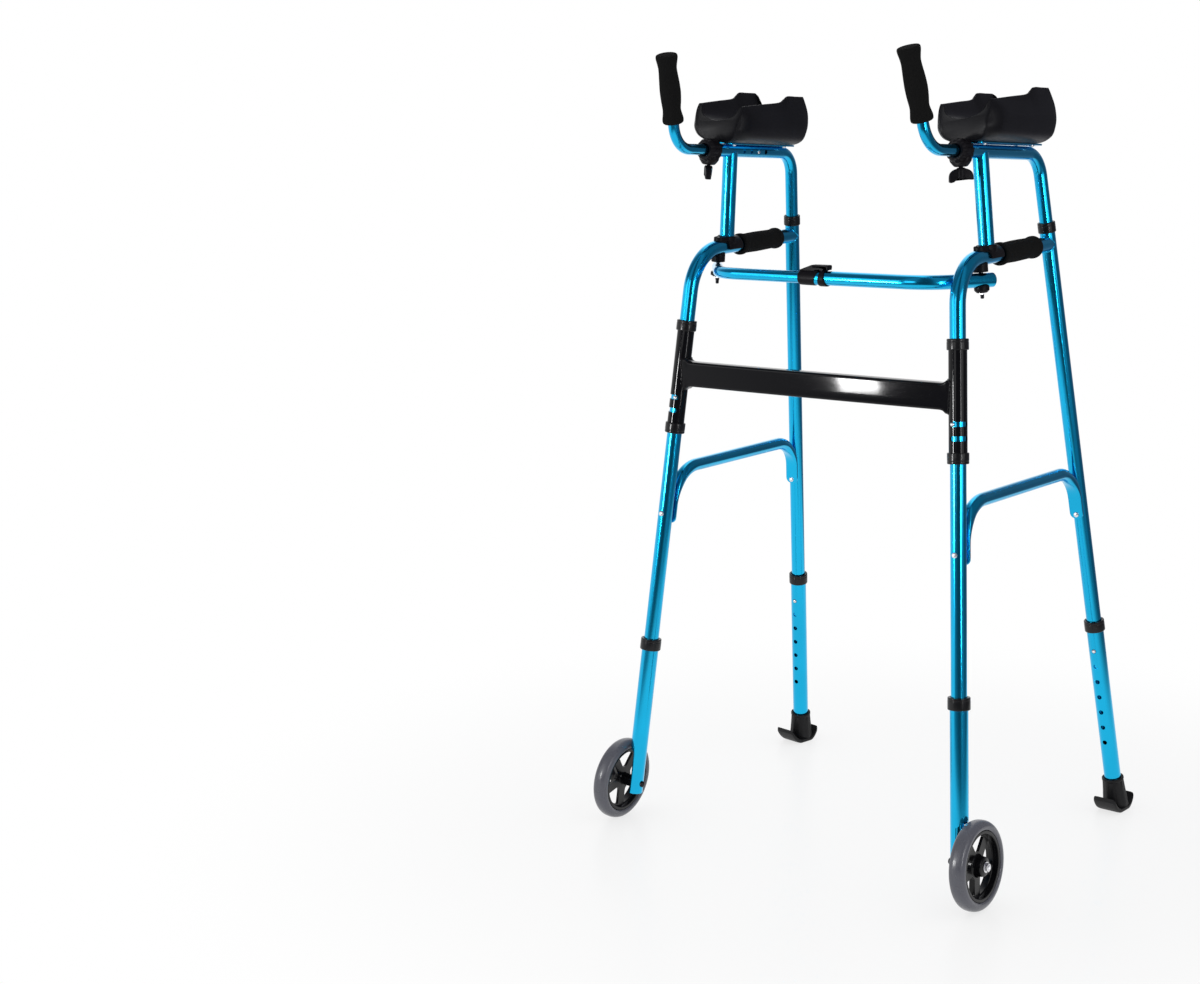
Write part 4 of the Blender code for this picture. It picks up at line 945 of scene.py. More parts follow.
def contact(points: Array, way: Array, axis: Array, along: Array, radius: float) -> Array:
    """How far each point goes along a way before it first meets a round bar's skin.

    Square to the bar, |p + way t - axis| = radius is a quadratic in t; the smaller root is
    the first contact, and a point that passes the bar stops where it is nearest.

    Args:
        points, way: where they start and where they go.
        axis, along, radius: the bar.

    Returns:
        One length for each point.
    """
    a = way - along * (way @ along)
    d = points - axis
    d = d - np.outer(d @ along, along)
    half_b, c = d @ a, np.sum(d * d, axis=1) - radius ** 2
    return (-half_b - np.sqrt(np.maximum(half_b ** 2 - (a @ a) * c, 0))) / (a @ a)


def coped(start: Array, way: Array, radius: float, axis: Array, along: Array,
          skin_radius: float) -> Array:
    """Closed line where a tube that starts outside another one first meets its skin.

    Args:
        start, way, radius: the tube.
        axis, along, skin_radius: the one it meets.

    Returns:
        Ninety points of the line.
    """
    side = unit(OUT - way * (OUT @ way))
    rim = disc(radius, 90)
    offset = start + rim[:, :1] * side + rim[:, 1:] * np.cross(way, side)
    return offset + contact(offset, way, axis, along, skin_radius)[:, None] * way


def smooth_rows(rows: Array, fine: int, looped: bool) -> Array:
    """Catmull-Rom curves through the points of every row, with more points on them.

    Between b and c, with neighbours a and d, a point is 0.5 (2b + (c-a) t +
    (2a-5b+4c-d) t^2 + (3b-3c+d-a) t^3).

    Args:
        rows: rows x points x 3.
        fine: new points for each stretch.
        looped: True where each row closes on itself.

    Returns:
        The finer rows.
    """
    if looped:
        a, b, c, d = (np.roll(rows, k, 1) for k in (1, 0, -1, -2))
    else:
        ends = np.concatenate([2 * rows[:, :1] - rows[:, 1:2], rows, 2 * rows[:, -1:] - rows[:, -2:-1]], 1)
        a, b, c, d = ends[:, :-3], ends[:, 1:-2], ends[:, 2:-1], ends[:, 3:]
    t = (np.arange(fine) / fine)[None, None, :, None]
    a, b, c, d = (v[:, :, None] for v in (a, b, c, d))
    curve = 0.5 * (2 * b + (c - a) * t + (2 * a - 5 * b + 4 * c - d) * t ** 2
                   + (3 * b - 3 * c + d - a) * t ** 3)
    curve = curve.reshape(len(rows), -1, rows.shape[-1])
    return curve if looped else np.concatenate([curve, rows[:, -1:]], 1)


def lengths(path: Array) -> Array:
    """Length of a path from its first point up to each point."""
    return np.concatenate([[0], np.cumsum(np.linalg.norm(np.diff(path, axis=0), axis=1))])


def picked(path: Array, at: Array) -> Array:
    """Points of a path at these lengths along it."""
    return np.stack([np.interp(at, lengths(path), row) for row in path.T], -1)


def resampled(path: Array, step: float) -> Array:
    """Path with a point about every step along it."""
    whole = lengths(path)[-1]
    return picked(path, np.linspace(0, whole, max(2, round(whole / step)) + 1))


def oval(a: Array, b: Array, power: Array, count: int = 48) -> Array:
    """Superellipses (a |cos t|^(2/p), b |sin t|^(2/p)) with their signs, one for each value.

    Args:
        a, b: half sizes.
        power: 2 for an ellipse, more for fuller corners.
        count: points in each.

    Returns:
        The ovals as rows of (a, b) pairs.
    """
    t = np.linspace(0, 2 * np.pi, count, endpoint=False)
    e = (2 / np.asarray(power, float))[..., None]
    return np.stack([np.asarray(half)[..., None] * np.sign(wave) * np.abs(wave) ** e
                     for half, wave in ((a, np.cos(t)), (b, np.sin(t)))], -1)


def collar_ring(point: Array, way: Array, outer: float, half: float, bore: float) -> Shell:
    """Bushing with rounded edges and a shallow groove under its upper lip.

    Args:
        point, way: its middle and its axis.
        outer, half, bore: radius, half of the height, and radius of the hole.

    Returns:
        The closed surface.
    """
    profile = [(bore, -half), (outer, -half), (outer, half - 4.6), (outer - 0.45, half - 4.1),
               (outer - 0.1, half - 3.6), (outer - 0.1, half), (bore, half)]
    return turned(soften(profile, 1.5, 6), point, way)


def handle_line() -> Array:
    """Centre line of the tube that is both front leg and handle."""
    return bent([FRONT.at(LEG_END_W), HANDLE_FRONT, HANDLE_REAR], [HANDLE_BEND])


def button_shell(base: Array, out: Array, along: Array, bore: float, reach: float) -> Shell:
    """Snap button: a dome on a stem, and the folded leaf spring behind it.

    Args:
        base, out, along: point of the tube's axis, the dome's way and the tube's.
        bore: inner radius of the tube.
        reach: from the axis to the top of the dome.

    Returns:
        Both closed surfaces.
    """
    wide = bore * 0.9
    leaf = [(wide, 5.0), (wide, -1.6 * wide), (0.5 * wide, -2.4 * wide), (-0.5 * wide, -2.4 * wide),
            (-wide, -1.6 * wide), (-wide, 3.0), (0.8 - wide, 3.0), (0.8 - wide, -1.5 * wide),
            (-0.45 * wide, 0.8 - 2.4 * wide), (0.45 * wide, 0.8 - 2.4 * wide),
            (wide - 0.8, -1.5 * wide), (wide - 0.8, 5.0)]
    dome = [(3.1, wide - 0.5), (3.1, reach - 2.6), (2.95, reach - 1.7), (2.5, reach - 0.9),
            (1.7, reach - 0.3), (0.8, reach - 0.04), (0.0, reach)]
    return (prism(np.array(leaf), -2.0, 2.0, base, out, along)
            + turned(dome, base, out, along, False, 32))


@dataclass
class Assembly:
    """Part of the walker that builds and dresses its own pieces."""

    shop: Workshop
    hand: Hand | None = None
    axes: Axes = field(init=False)

    def __post_init__(self) -> None:
        """Sets the axes that the pieces are drawn in."""
        self.axes = Axes(self.hand)

    def named(self, stem: str) -> str:
        """Name with this side's ending, if it has a side."""
        return f"{stem}_{self.hand.tail}" if self.hand else stem

    def add(self, stem: str, shell: Shell, finish: Finish, body: str,
            stands_for: Sequence[str] = (), **more: Any) -> Thing:
        """Makes a piece on this side, on a body and for nodes of this side."""
        return self.shop.piece(self.named(stem), shell, self.axes, finish, self.named(body),
                               [self.named(node) for node in stands_for], **more)


@dataclass
class SideFrame(Assembly):
    """Bent front leg and handle, rear leg, and their collars and foam grip."""

    top_end: float = 912.0
    collar_w: float = 910.5
    grip_from: float = 38.0
    grip_to: float = 146.0

    def build(self) -> None:
        """Makes the tubes, the weld between them, the grip and the top collar."""
        main = handle_line()
        self.add("front_leg_and_handle", tube(main, MAIN_R), BLUE, "side_frame", ["side_frame"],
                 run=(main, OUT))
        rear = REAR.at([LEG_END_W, self.top_end])
        self.add("rear_leg", tube(rear, MAIN_R), BLUE, "side_frame", run=(rear, OUT))
        rim = coped(HANDLE_REAR - HANDLE.way * 40, HANDLE.way, MAIN_R, HANDLE_REAR, REAR.way, MAIN_R)
        self.add("handle_weld", bead(rim, 1.0), BLUE, "side_frame", run=(rear, OUT))
        self.grip()
        ring = collar_ring(REAR.at(self.collar_w), REAR.way, 12.8, 7.5, PLATFORM_R + FIT)
        self.add("rear_leg_top_bushing", ring, COLLAR, "side_frame", ["rear_top_collar"])

    def grip(self) -> None:
        """Foam sleeve whose ends flare into soft rings."""
        middle = HANDLE.at((self.grip_from + self.grip_to) / 2)
        half = (self.grip_to - self.grip_from) / 2
        bore = MAIN_R + FIT
        near = [(bore, -half), (15.2, -half), (16.25, 2.6 - half), (16.25, 8.0 - half),
                (15.0, 11.5 - half), (14.7, 20 - half), (15.2, -8.0)]
        far = [(r - 0.15, -h) for r, h in near[::-1]]
        sleeve = turned(soften(near + far[:-1] + [(bore, half)], 3.0, 7), middle, HANDLE.way)
        thing = self.add("foam_handle_grip", sleeve, FOAM, "side_frame", ["handle_grip"])


@dataclass
class SideBrace(Assembly):
    """Bent tube between the legs, pressed flat at both ends and riveted on."""

    height: float = 548.0
    front_bend: float = 58.0
    rear_bend: float = 52.0
    front_end: float = 466.0
    rear_end: float = 474.0
    flat: float = 4.4
    round_r: float = 9.5
    swell: float = 1.12
    flat_long: float = 30.0
    round_over: float = 50.0
    rivet: float = 483.5

    def build(self) -> None:
        """Makes the brace and its rivets."""
        stand = MAIN_R + self.flat / 2 + FIT
        level, front, rear = CentreLine(self.height, 0.0, True), FRONT.shifted(stand), REAR.shifted(-stand)
        corners = [front.at(self.front_end), front.meet(level), rear.meet(level), rear.at(self.rear_end)]
        path = resampled(bent(corners, [self.front_bend, self.rear_bend], 3.0), 2.5)
        self.add("bent_side_brace", carry(path, OUT, self.sections(path)), BLUE, "side_frame",
                 ["side_brace"], run=(path[::6], OUT))
        self.rivets()

    def sections(self, path: Array) -> Array:
        """Round in the middle, a flat oval towards both ends, whose tips are rounded.

        From flat to round both half sizes follow p * p * (3 - 2 p). At d mm from an end, up to
        9 mm, the width is that of a half circle: w * sqrt(1 - (1 - d / 9)^2), at least 0.2 w.

        Args:
            path: centre line of the brace.

        Returns:
            One section for each of its points.
        """
        length = lengths(path)
        near = np.minimum(length, length[-1] - length)
        press = np.clip((near - self.flat_long) / self.round_over, 0, 1)
        press = press * press * (3 - 2 * press)
        tip = np.sqrt(np.clip(1 - (1 - np.clip(near / 9.0, 0, 1)) ** 2, 0.04, 1))
        wide = self.round_r * (self.swell + (1 - self.swell) * press) * tip
        thick = self.flat / 2 + (self.round_r - self.flat / 2) * press
        return oval(wide, thick * np.clip(tip + 0.35, 0, 1), 2 + 3 * (1 - press))

    def rivets(self) -> None:
        """Domed heads in front and flat ones behind, on each leg."""
        shell = None
        for line, front_reach, back_reach in ((FRONT, MAIN_R, MAIN_R + self.flat + FIT),
                                              (REAR, MAIN_R + self.flat + FIT, MAIN_R)):
            dome = [(0, -back_reach - 1.8), (1.6, -back_reach - 1.6), (3.2, -back_reach - 0.8),
                    (3.9, -back_reach), (2.4, -back_reach), (2.4, front_reach), (4.1, front_reach),
                    (3.6, front_reach + 1.3), (2.2, front_reach + 2.1), (0, front_reach + 2.4)]
            head = turned(dome, line.at(self.rivet), line.square, OUT, False, 32)
            shell = head if shell is None else shell + head
        self.add("brace_rivets", shell, BRIGHT, "side_frame")


@dataclass
class Legs(Assembly):
    """Extensions, their bushings, the snap buttons and the rear holes."""

    front_low: float = 45.5
    front_high: float = 286.0
    rear_low: float = 27.0
    rear_high: float = 308.0
    top_hole: float = 264.5
    pitch: float = 25.4
    holes: int = 7
    arch_up: float = 47.0
    axle_hole_r: float = 4.4
    front_collar_w: float = 280.9
    rear_collar_w: float = 302.9
    lock: float = 660.0
    lock_turn: float = -10.0

    def build(self) -> None:
        """Makes both extensions, both bushings and both buttons."""
        self.front()
        self.rear()
        bore, reach = MAIN_R - WALL, LEG_R + BUTTON_PROUD
        button = button_shell(REAR.at(self.top_hole), REAR.square, REAR.way, bore, reach)
        self.add("rear_height_button", button, BRIGHT, "rear_button", ["rear_snap_button"])
        a = math.radians(self.lock_turn)
        ahead = FRONT.square * math.cos(a) + OUT * math.sin(a)
        button = button_shell(FRONT.at(self.lock), ahead, FRONT.way, bore, reach)
        self.add("fold_lock_button", button, BRIGHT, "front_button", ["front_snap_button"])

    def front(self) -> None:
        """Front extension, its lower end cut to half a tube under an arch, round the axle."""
        path = FRONT.at([self.front_low, self.front_high])
        arch = LEG_R + 0.4
        a = np.linspace(0, math.pi, 25)
        outline = np.concatenate([[(-arch, -90.0), (arch, -90.0)], arc(arch, a)])
        base = FRONT.at(AXLE_W + self.arch_up)
        opening = prism(outline, -60.0, -0.6, base, np.array([0.0, 1.0, -FRONT.slope]), FRONT.way)
        hole = peg(FRONT.at(AXLE_W) - OUT * 20, FRONT.at(AXLE_W) - OUT * 2, self.axle_hole_r)
        self.add("front_leg_extension", tube(path, LEG_R, LEG_R - 1.5), BLUE, "front_leg",
                 ["front_extension"], cuts=[opening, hole], run=(path, OUT))
        ring = collar_ring(FRONT.at(self.front_collar_w), FRONT.way, 15.75, 8.75, MAIN_R + FIT)
        self.add("front_leg_bushing", ring, COLLAR, "front_leg", ["front_lower_collar"])

    def rear(self) -> None:
        """Rear extension with its row of height holes on the front."""
        path = REAR.at([self.rear_low, self.rear_high])
        ahead = REAR.square
        middles = [REAR.at(self.top_hole) - REAR.way * k * self.pitch for k in range(self.holes)]
        cuts = [peg(middle + ahead * 9, middle + ahead * 18, BUTTON_HOLE_R) for middle in middles]
        self.add("rear_leg_extension", tube(path, LEG_R, LEG_R - WALL), BLUE, "rear_leg",
                 ["rear_extension"], cuts=cuts, run=(path, OUT))
        ring = collar_ring(REAR.at(self.rear_collar_w), REAR.way, 15.25, 8.5, MAIN_R + FIT)
        self.add("rear_leg_bushing", ring, COLLAR, "rear_leg", ["rear_lower_collar"])


@dataclass
class Foot(Assembly):
    """Rubber foot: a socket on a rocker sole whose ends curl up."""

    back: float = 8.0
    wide: float = 37.0
    thick: float = 7.0
    rise: float = 24.0
    front_run: float = 18.0
    rear_run: float = 11.0
    rear_share: float = 0.8
    top: float = 53.0
    yaws: tuple[float, float] = (-3.0, -10.0)

    def build(self) -> None:
        """Makes the sole and the socket as one piece."""
        ground = self.axes.walker(REAR.at(0.0))
        yaw = math.radians(self.hand.of(self.yaws))
        centre = np.array([ground[0], ground[1] - self.back, 0.0])
        along = np.array([-math.sin(yaw), math.cos(yaw), 0.0])
        across = np.cross(along, UP)
        sole = self.sole(centre, along, across)
        up = self.axes.turn(REAR.way)
        bore = LEG_R + FIT
        ring = [(bore, 5.0), (19.4, 5.0), (18.6, 16.0), (16.9, 34.0), (15.9, self.top - 4.6),
                (16.6, self.top - 3.8), (16.6, self.top), (bore, self.top)]
        socket = self.faceted(turned(soften(ring, 1.2, 5), ground, up, OUT, True, 96), ground, up)
        self.shop.piece(self.named("rubber_foot"), sole + socket, Axes(), RUBBER,
                        self.named("rear_leg"), [self.named("rear_foot")], crease=34.0)

    def faceted(self, shell: Shell, ground: Array, up: Array) -> Shell:
        """Socket with 12 faint ribs: the radius grows by 0.4 * |sin 6t| - 0.2 outside the bore.

        Args:
            shell: the plain socket.
            ground, up: point and direction of the leg's axis.

        Returns:
            The ribbed socket.
        """
        rel = shell.points - ground
        height = rel @ up
        radial = rel - np.outer(height, up)
        r = np.linalg.norm(radial, axis=1)
        angle = np.arctan2(radial[:, 1], radial[:, 0])
        grow = np.where((r > 14.0) & (height < self.top - 5), 0.4 * np.abs(np.sin(6 * angle)) - 0.2, 0)
        return Shell(shell.points + radial / r[:, None] * grow[:, None], shell.faces)

    def sole(self, centre: Array, along: Array, across: Array) -> Shell:
        """Rocker sole: sections across it that rise and narrow towards both tips.

        At a share s of the way to a tip the bottom stands at 0.86 * rise * s^2.1 and the top
        at thick * (1 - 0.35 s) + 0.94 * rise * s^1.7, at least 4.6 mm higher. The half width is
        wide / 2 * (1.03 - 0.05 s^4), in the last 12% times sqrt(1 - 0.2 t^2.5).

        Args:
            centre, along, across: middle and directions, in the walker's axes.

        Returns:
            The capped surface.
        """
        steps = np.array([0.0, 0.08, 0.17, 0.26, 0.35, 0.44, 0.53, 0.62, 0.7, 0.78, 0.85, 0.91,
                          0.95, 0.98, 1.0])
        q = np.concatenate([-steps[:0:-1], steps])
        run = np.where(q < 0, self.front_run + 8, self.rear_run + 8)
        place = np.where(q < 0, -10.0 + q * run, 10.0 + q * run)
        place[q == 0] = 0.0
        share = np.abs(q)
        tall = np.where(q < 0, self.rise, self.rise * self.rear_share)
        low = tall * 0.86 * share ** 2.1
        high = np.maximum(self.thick * (1 - 0.35 * share) + tall * 0.94 * share ** 1.7, low + 4.6)
        tip = np.clip((share - 0.88) / 0.12, 0, 1)
        half = self.wide / 2 * (1.03 - 0.05 * share ** 4) * np.sqrt(1 - 0.2 * tip ** 2.5)
        ring = oval(half, (high - low) / 2, 7.0, 40)
        ring[..., 1] += (low + high)[:, None] / 2
        return skin(centre + place[:, None, None] * along + ring[..., :1] * across + ring[..., 1:] * UP)


@dataclass
class Wheel(Assembly):
    """Grey tyre on a black spoked rim, on its axle bolt."""

    radius: float = 62.5
    width: float = 24.0
    offset: float = 26.0
    rim_r: float = 49.2
    rim_half: float = 10.0
    spokes: int = 5
    window_r: tuple[float, float] = (18.5, 41.5)
    spoke_half: tuple[float, float] = (7.4, 7.2)
    webs: int = 10

    def build(self) -> None:
        """Makes the tyre, the rim with its ribs, the bolt and the nut."""
        self.add("wheel_tread", turned(self.tread(), self.centre(), OUT, -FRONT.way, True, 128), TYRE,
                 "wheel", ["wheel_tyre"], crease=50.0)
        self.rim()
        self.bolt()

    def centre(self) -> Array:
        """Middle of the wheel, on its axle."""
        return FRONT.at(AXLE_W) + OUT * self.offset

    def tread(self) -> Array:
        """Section of the tyre: a rounded crown over straight, slightly dished side walls.

        Returns:
            Pairs of radius and depth.
        """
        r, half = self.radius, self.width / 2
        low = self.rim_r + FIT
        ring = [(low, -half + 1.6), (low + 1.8, -half + 0.2), (r - 7.5, -half), (r - 2.3, -half + 2.6),
                (r, -half + 8.0), (r, half - 8.0), (r - 2.3, half - 2.6), (r - 7.5, half),
                (low + 1.8, half - 0.2), (low, half - 1.6)]
        return soften(ring, 4.2, 8)

    def rim(self) -> None:
        """Rim with five windows between its spokes, a hub, and ribs from the hub outwards."""
        centre, up = self.centre(), -FRONT.way
        bore, hub, web = 4.35, 9.5, 2.2
        ring = [(bore, -33.0), (hub - 1.2, -33.0), (hub, -web - 1), (43.4, -web - 1),
                (44.4, -self.rim_half), (self.rim_r, -self.rim_half), (self.rim_r, self.rim_half),
                (44.4, self.rim_half), (43.4, web - 1), (hub + 6.5, web - 1), (hub + 5.0, 5.0),
                (hub + 4.0, 12.6), (hub - 1.0, 13.4), (hub - 2.2, 14.0), (bore, 14.0)]
        shell = turned(soften(ring, 1.3, 4), centre, OUT, up, True, 128)
        windows = []
        (near, far), (thin, wide) = self.window_r, self.spoke_half
        for k in range(self.spokes):
            x = self.ray((k + 0.5) / self.spokes)
            half_in = math.pi / self.spokes - math.asin(thin / near)
            half_out = math.pi / self.spokes - math.asin(wide / far)
            outer = [(far, a) for a in np.linspace(-half_out, half_out, 13)]
            polar = [(near, -half_in), *outer, (near, half_in)]
            corners = [(r * math.cos(a), r * math.sin(a)) for r, a in polar]
            windows.append(prism(soften(corners, 2.6, 5), -9.0, 9.0, centre, x, np.cross(x, OUT)))
        for k in range(self.spokes):
            x = self.ray(k / self.spokes)
            for shift in (-5.8, 5.8):
                y = np.cross(OUT, x) * shift
                for low, high in ((web - 2.0, 8.0), (-web - 6.2, -web)):
                    shell = shell + self.rib(centre + y * 0.72 + x * 8.0, centre + y + x * 44.0, low, high)
        for k in range(self.webs):
            x = self.ray((k + 0.5) / self.webs)
            shell = shell + self.rib(centre + x * 9.0, centre + x * 14.6, 0.0, 12.8)
        self.add("spoked_rim", shell, RIM, "wheel", ["wheel_hub"], cuts=windows, crease=30.0)

    def ray(self, share: float) -> Array:
        """Direction from the hub at a share of a turn about the axle, from the lowest point."""
        turn = 2 * math.pi * share
        return -FRONT.way * math.cos(turn) + np.cross(OUT, -FRONT.way) * math.sin(turn)

    def rib(self, start: Array, end: Array, low: float, high: float) -> Shell:
        """Thin upright rib from one point to another, between two depths along n.

        Args:
            start, end: the points.
            low, high: the depths.

        Returns:
            The capped surface.
        """
        way = unit(end - start)
        side = np.cross(OUT, way) * 0.9
        base = np.stack([start - side, end - side * 0.8, end + side * 0.8, start + side])
        return skin(np.stack([base + OUT * low, base + OUT * high]))

    def bolt(self) -> None:
        """Black bolt through the leg and hub, and a bright nut and washer outside."""
        centre, up = self.centre(), -FRONT.way
        leg = -self.offset - LEG_R
        shank = [(0, leg - 3.9), (2.4, leg - 3.8), (4.0, leg - 3.0), (4.7, leg - 2.0),
                 (4.7, leg - FIT), (4.0, leg - FIT), (4.0, 15.0), (0, 15.0)]
        self.add("axle_bolt_and_head", turned(shank, centre, OUT, up, False, 40), DARK_STEEL,
                 "front_leg", ["axle_bolt"])
        ring = [(4.0, 14.3), (7.6, 14.3), (7.6, 15.2), (4.0, 15.2)]
        nut = [(3.0, 15.2), (5.9, 15.2), (6.3, 15.8), (6.3, 18.2), (5.6, 19.0), (3.0, 19.0)]
        tip = [(0, 15.0), (3.1, 15.0), (3.1, 19.8), (2.5, 20.4), (0, 20.4)]
        shell = (turned(soften(ring, 0.3, 3), centre, OUT, up, True, 40)
                 + turned(nut, centre, OUT, up, True, 6) + turned(tip, centre, OUT, up, False, 32))
        self.add("axle_nut", shell, BRIGHT, "front_leg", crease=20.0)


@dataclass
class CrossMember(Assembly):
    """Black bow-fronted bar welded between the two sleeves, with their bushings."""

    low: float = 613.9
    high: float = 766.9
    height: float = 694.0
    tall: float = 37.0
    thick: float = 20.0
    corner: float = 4.5
    bow: float = 4.0
    flare: float = 1.26
    slots: tuple[float, float] = (660.0, 640.5)
    slot_tall: float = 6.8
    slot_from: float = -31.0
    slot_to: float = 112.0

    def build(self) -> None:
        """Makes the bar, then the sleeve, welds and bushings of each side."""
        self.add("bowed_cross_bar", self.bar(), PAINT, "cross_member", ["cross_member"], crease=30.0)
        for hand in Hand:
            side = Axes(hand)
            path = FRONT.at([self.low, self.high])
            self.shop.piece(f"hinge_sleeve_{hand.tail}", tube(path, LEG_R, LEG_R - WALL), side, PAINT,
                            "cross_member", cuts=[self.slot(w) for w in self.slots])
            self.add(f"sleeve_weld_{hand.tail}", bead(self.weld(hand), 1.5), PAINT, "cross_member")
            for stem, w, way in (("top", self.high, FRONT.way), ("low", self.low, -FRONT.way)):
                ring = collar_ring(FRONT.at(w), way, 15.0, 7.75, MAIN_R + FIT + SLIP)
                self.shop.piece(f"sleeve_{stem}_bushing_{hand.tail}", ring, side, COLLAR,
                                "cross_member", [f"sleeve_{stem}_collar_{hand.tail}"])

    def end(self, hand: Hand) -> tuple[Array, Array]:
        """Point of a sleeve's axis at the bar's height, and the axis, in the walker's axes."""
        low, high = (Axes(hand).walker(FRONT.at(w)) for w in (self.low, self.high))
        return low + (high - low) * ((self.height - low[2]) / (high[2] - low[2])), unit(high - low)

    def outline(self, swell: float) -> Array:
        """Rounded rectangle in y and z, its height times the swell."""
        a, b = self.thick / 2, self.tall / 2 * swell
        return soften([(0, -b), (a, -b), (a, 0), (a, b), (0, b), (-a, b), (-a, 0), (-a, -b)], self.corner, 7)

    def bar(self) -> Shell:
        """Rings across the walker: y bows by bow * (1 - p^2), z swells towards both sleeves.

        The last ring on each side lies in its sleeve's wall, 0.6 of the wall deep.

        Returns:
            The capped surface, in the walker's axes.
        """
        left, up_left = self.end(Hand.LEFT)
        right, up_right = self.end(Hand.RIGHT)
        half = left[0]
        reach = half - LEG_R
        inner = np.linspace(-reach + 14, reach - 14, 41)
        near = np.array([10.0, 7.0, 4.5, 2.5, 1.0, 0.0, -2.5, -4.2, -5.2])
        rise = np.array([0.02, 0.12, 0.36, 0.7, 0.93, 1.0, 0.98, 0.9, 0.72])
        swell_near = 1 + (self.flare - 1) * rise
        x = np.concatenate([-(reach - near[::-1]), inner, reach - near])
        swell = np.concatenate([swell_near[::-1], np.ones(len(inner)), swell_near])
        part = x / half
        rings = np.stack([self.outline(s) for s in swell])
        centre = right + (left - right) * ((part + 1) / 2)[:, None]
        centre[:, 1] -= self.bow * (1 - part ** 2)
        points = centre[:, None] + np.pad(rings, ((0, 0), (0, 0), (1, 0)))
        for row, base, along, way in ((0, right, up_right, -OUT), (-1, left, up_left, OUT)):
            points[row, :, 0] = base[0] - way[0] * 40
            t = contact(points[row], way, base, along, LEG_R - WALL * 0.6)
            points[row] += t[:, None] * way
        return skin(points)

    def weld(self, hand: Hand) -> Array:
        """Line where the flared end of the bar meets its sleeve.

        Args:
            hand: which side.

        Returns:
            A closed row of points, in the walker's axes.
        """
        base, along = self.end(hand)
        outline = self.outline(self.flare * 0.985)
        closed = np.concatenate([outline, outline[:1]])
        ring = picked(closed, np.linspace(0, lengths(closed)[-1], 161)[:-1])
        way = OUT * hand.value
        start = base - way * 40 + np.pad(ring, ((0, 0), (1, 0)))
        return start + contact(start, way, base, along, LEG_R)[:, None] * way

    def slot(self, w: float) -> Shell:
        """Band that opens a sleeve from the front round to its outside, with round ends.

        The half height is h * sqrt(1 - d^2), and d grows from 0 to 1 over the last h to an end.

        Args:
            w: height of the slot.

        Returns:
            The closed shape to cut with.
        """
        half = self.slot_tall / 2
        lip = math.degrees(half / LEG_R)
        ease = lip * (1 - np.cos(np.linspace(0, math.pi / 2, 8)))
        middle = np.linspace(self.slot_from + lip, self.slot_to - lip, 15)[1:-1]
        turn = np.concatenate([self.slot_from + ease, middle, self.slot_to - ease[::-1]])
        deep = np.maximum(0, 1 - np.minimum(turn - self.slot_from, self.slot_to - turn) / lip)
        tall = half * np.sqrt(np.maximum(1 - deep ** 2, 0.0004))
        a = np.radians(turn)[:, None]
        out = FRONT.square * np.cos(a) + OUT * np.sin(a)
        inside, outside = LEG_R - WALL - 2.0, LEG_R + 2.0
        reach = np.array([inside, outside, outside, inside])
        lift = np.array([-1.0, -1.0, 1.0, 1.0])
        rings = (FRONT.at(w) + out[:, None] * reach[None, :, None]
                 + FRONT.way * (tall[:, None] * lift)[..., None])
        return skin(rings)


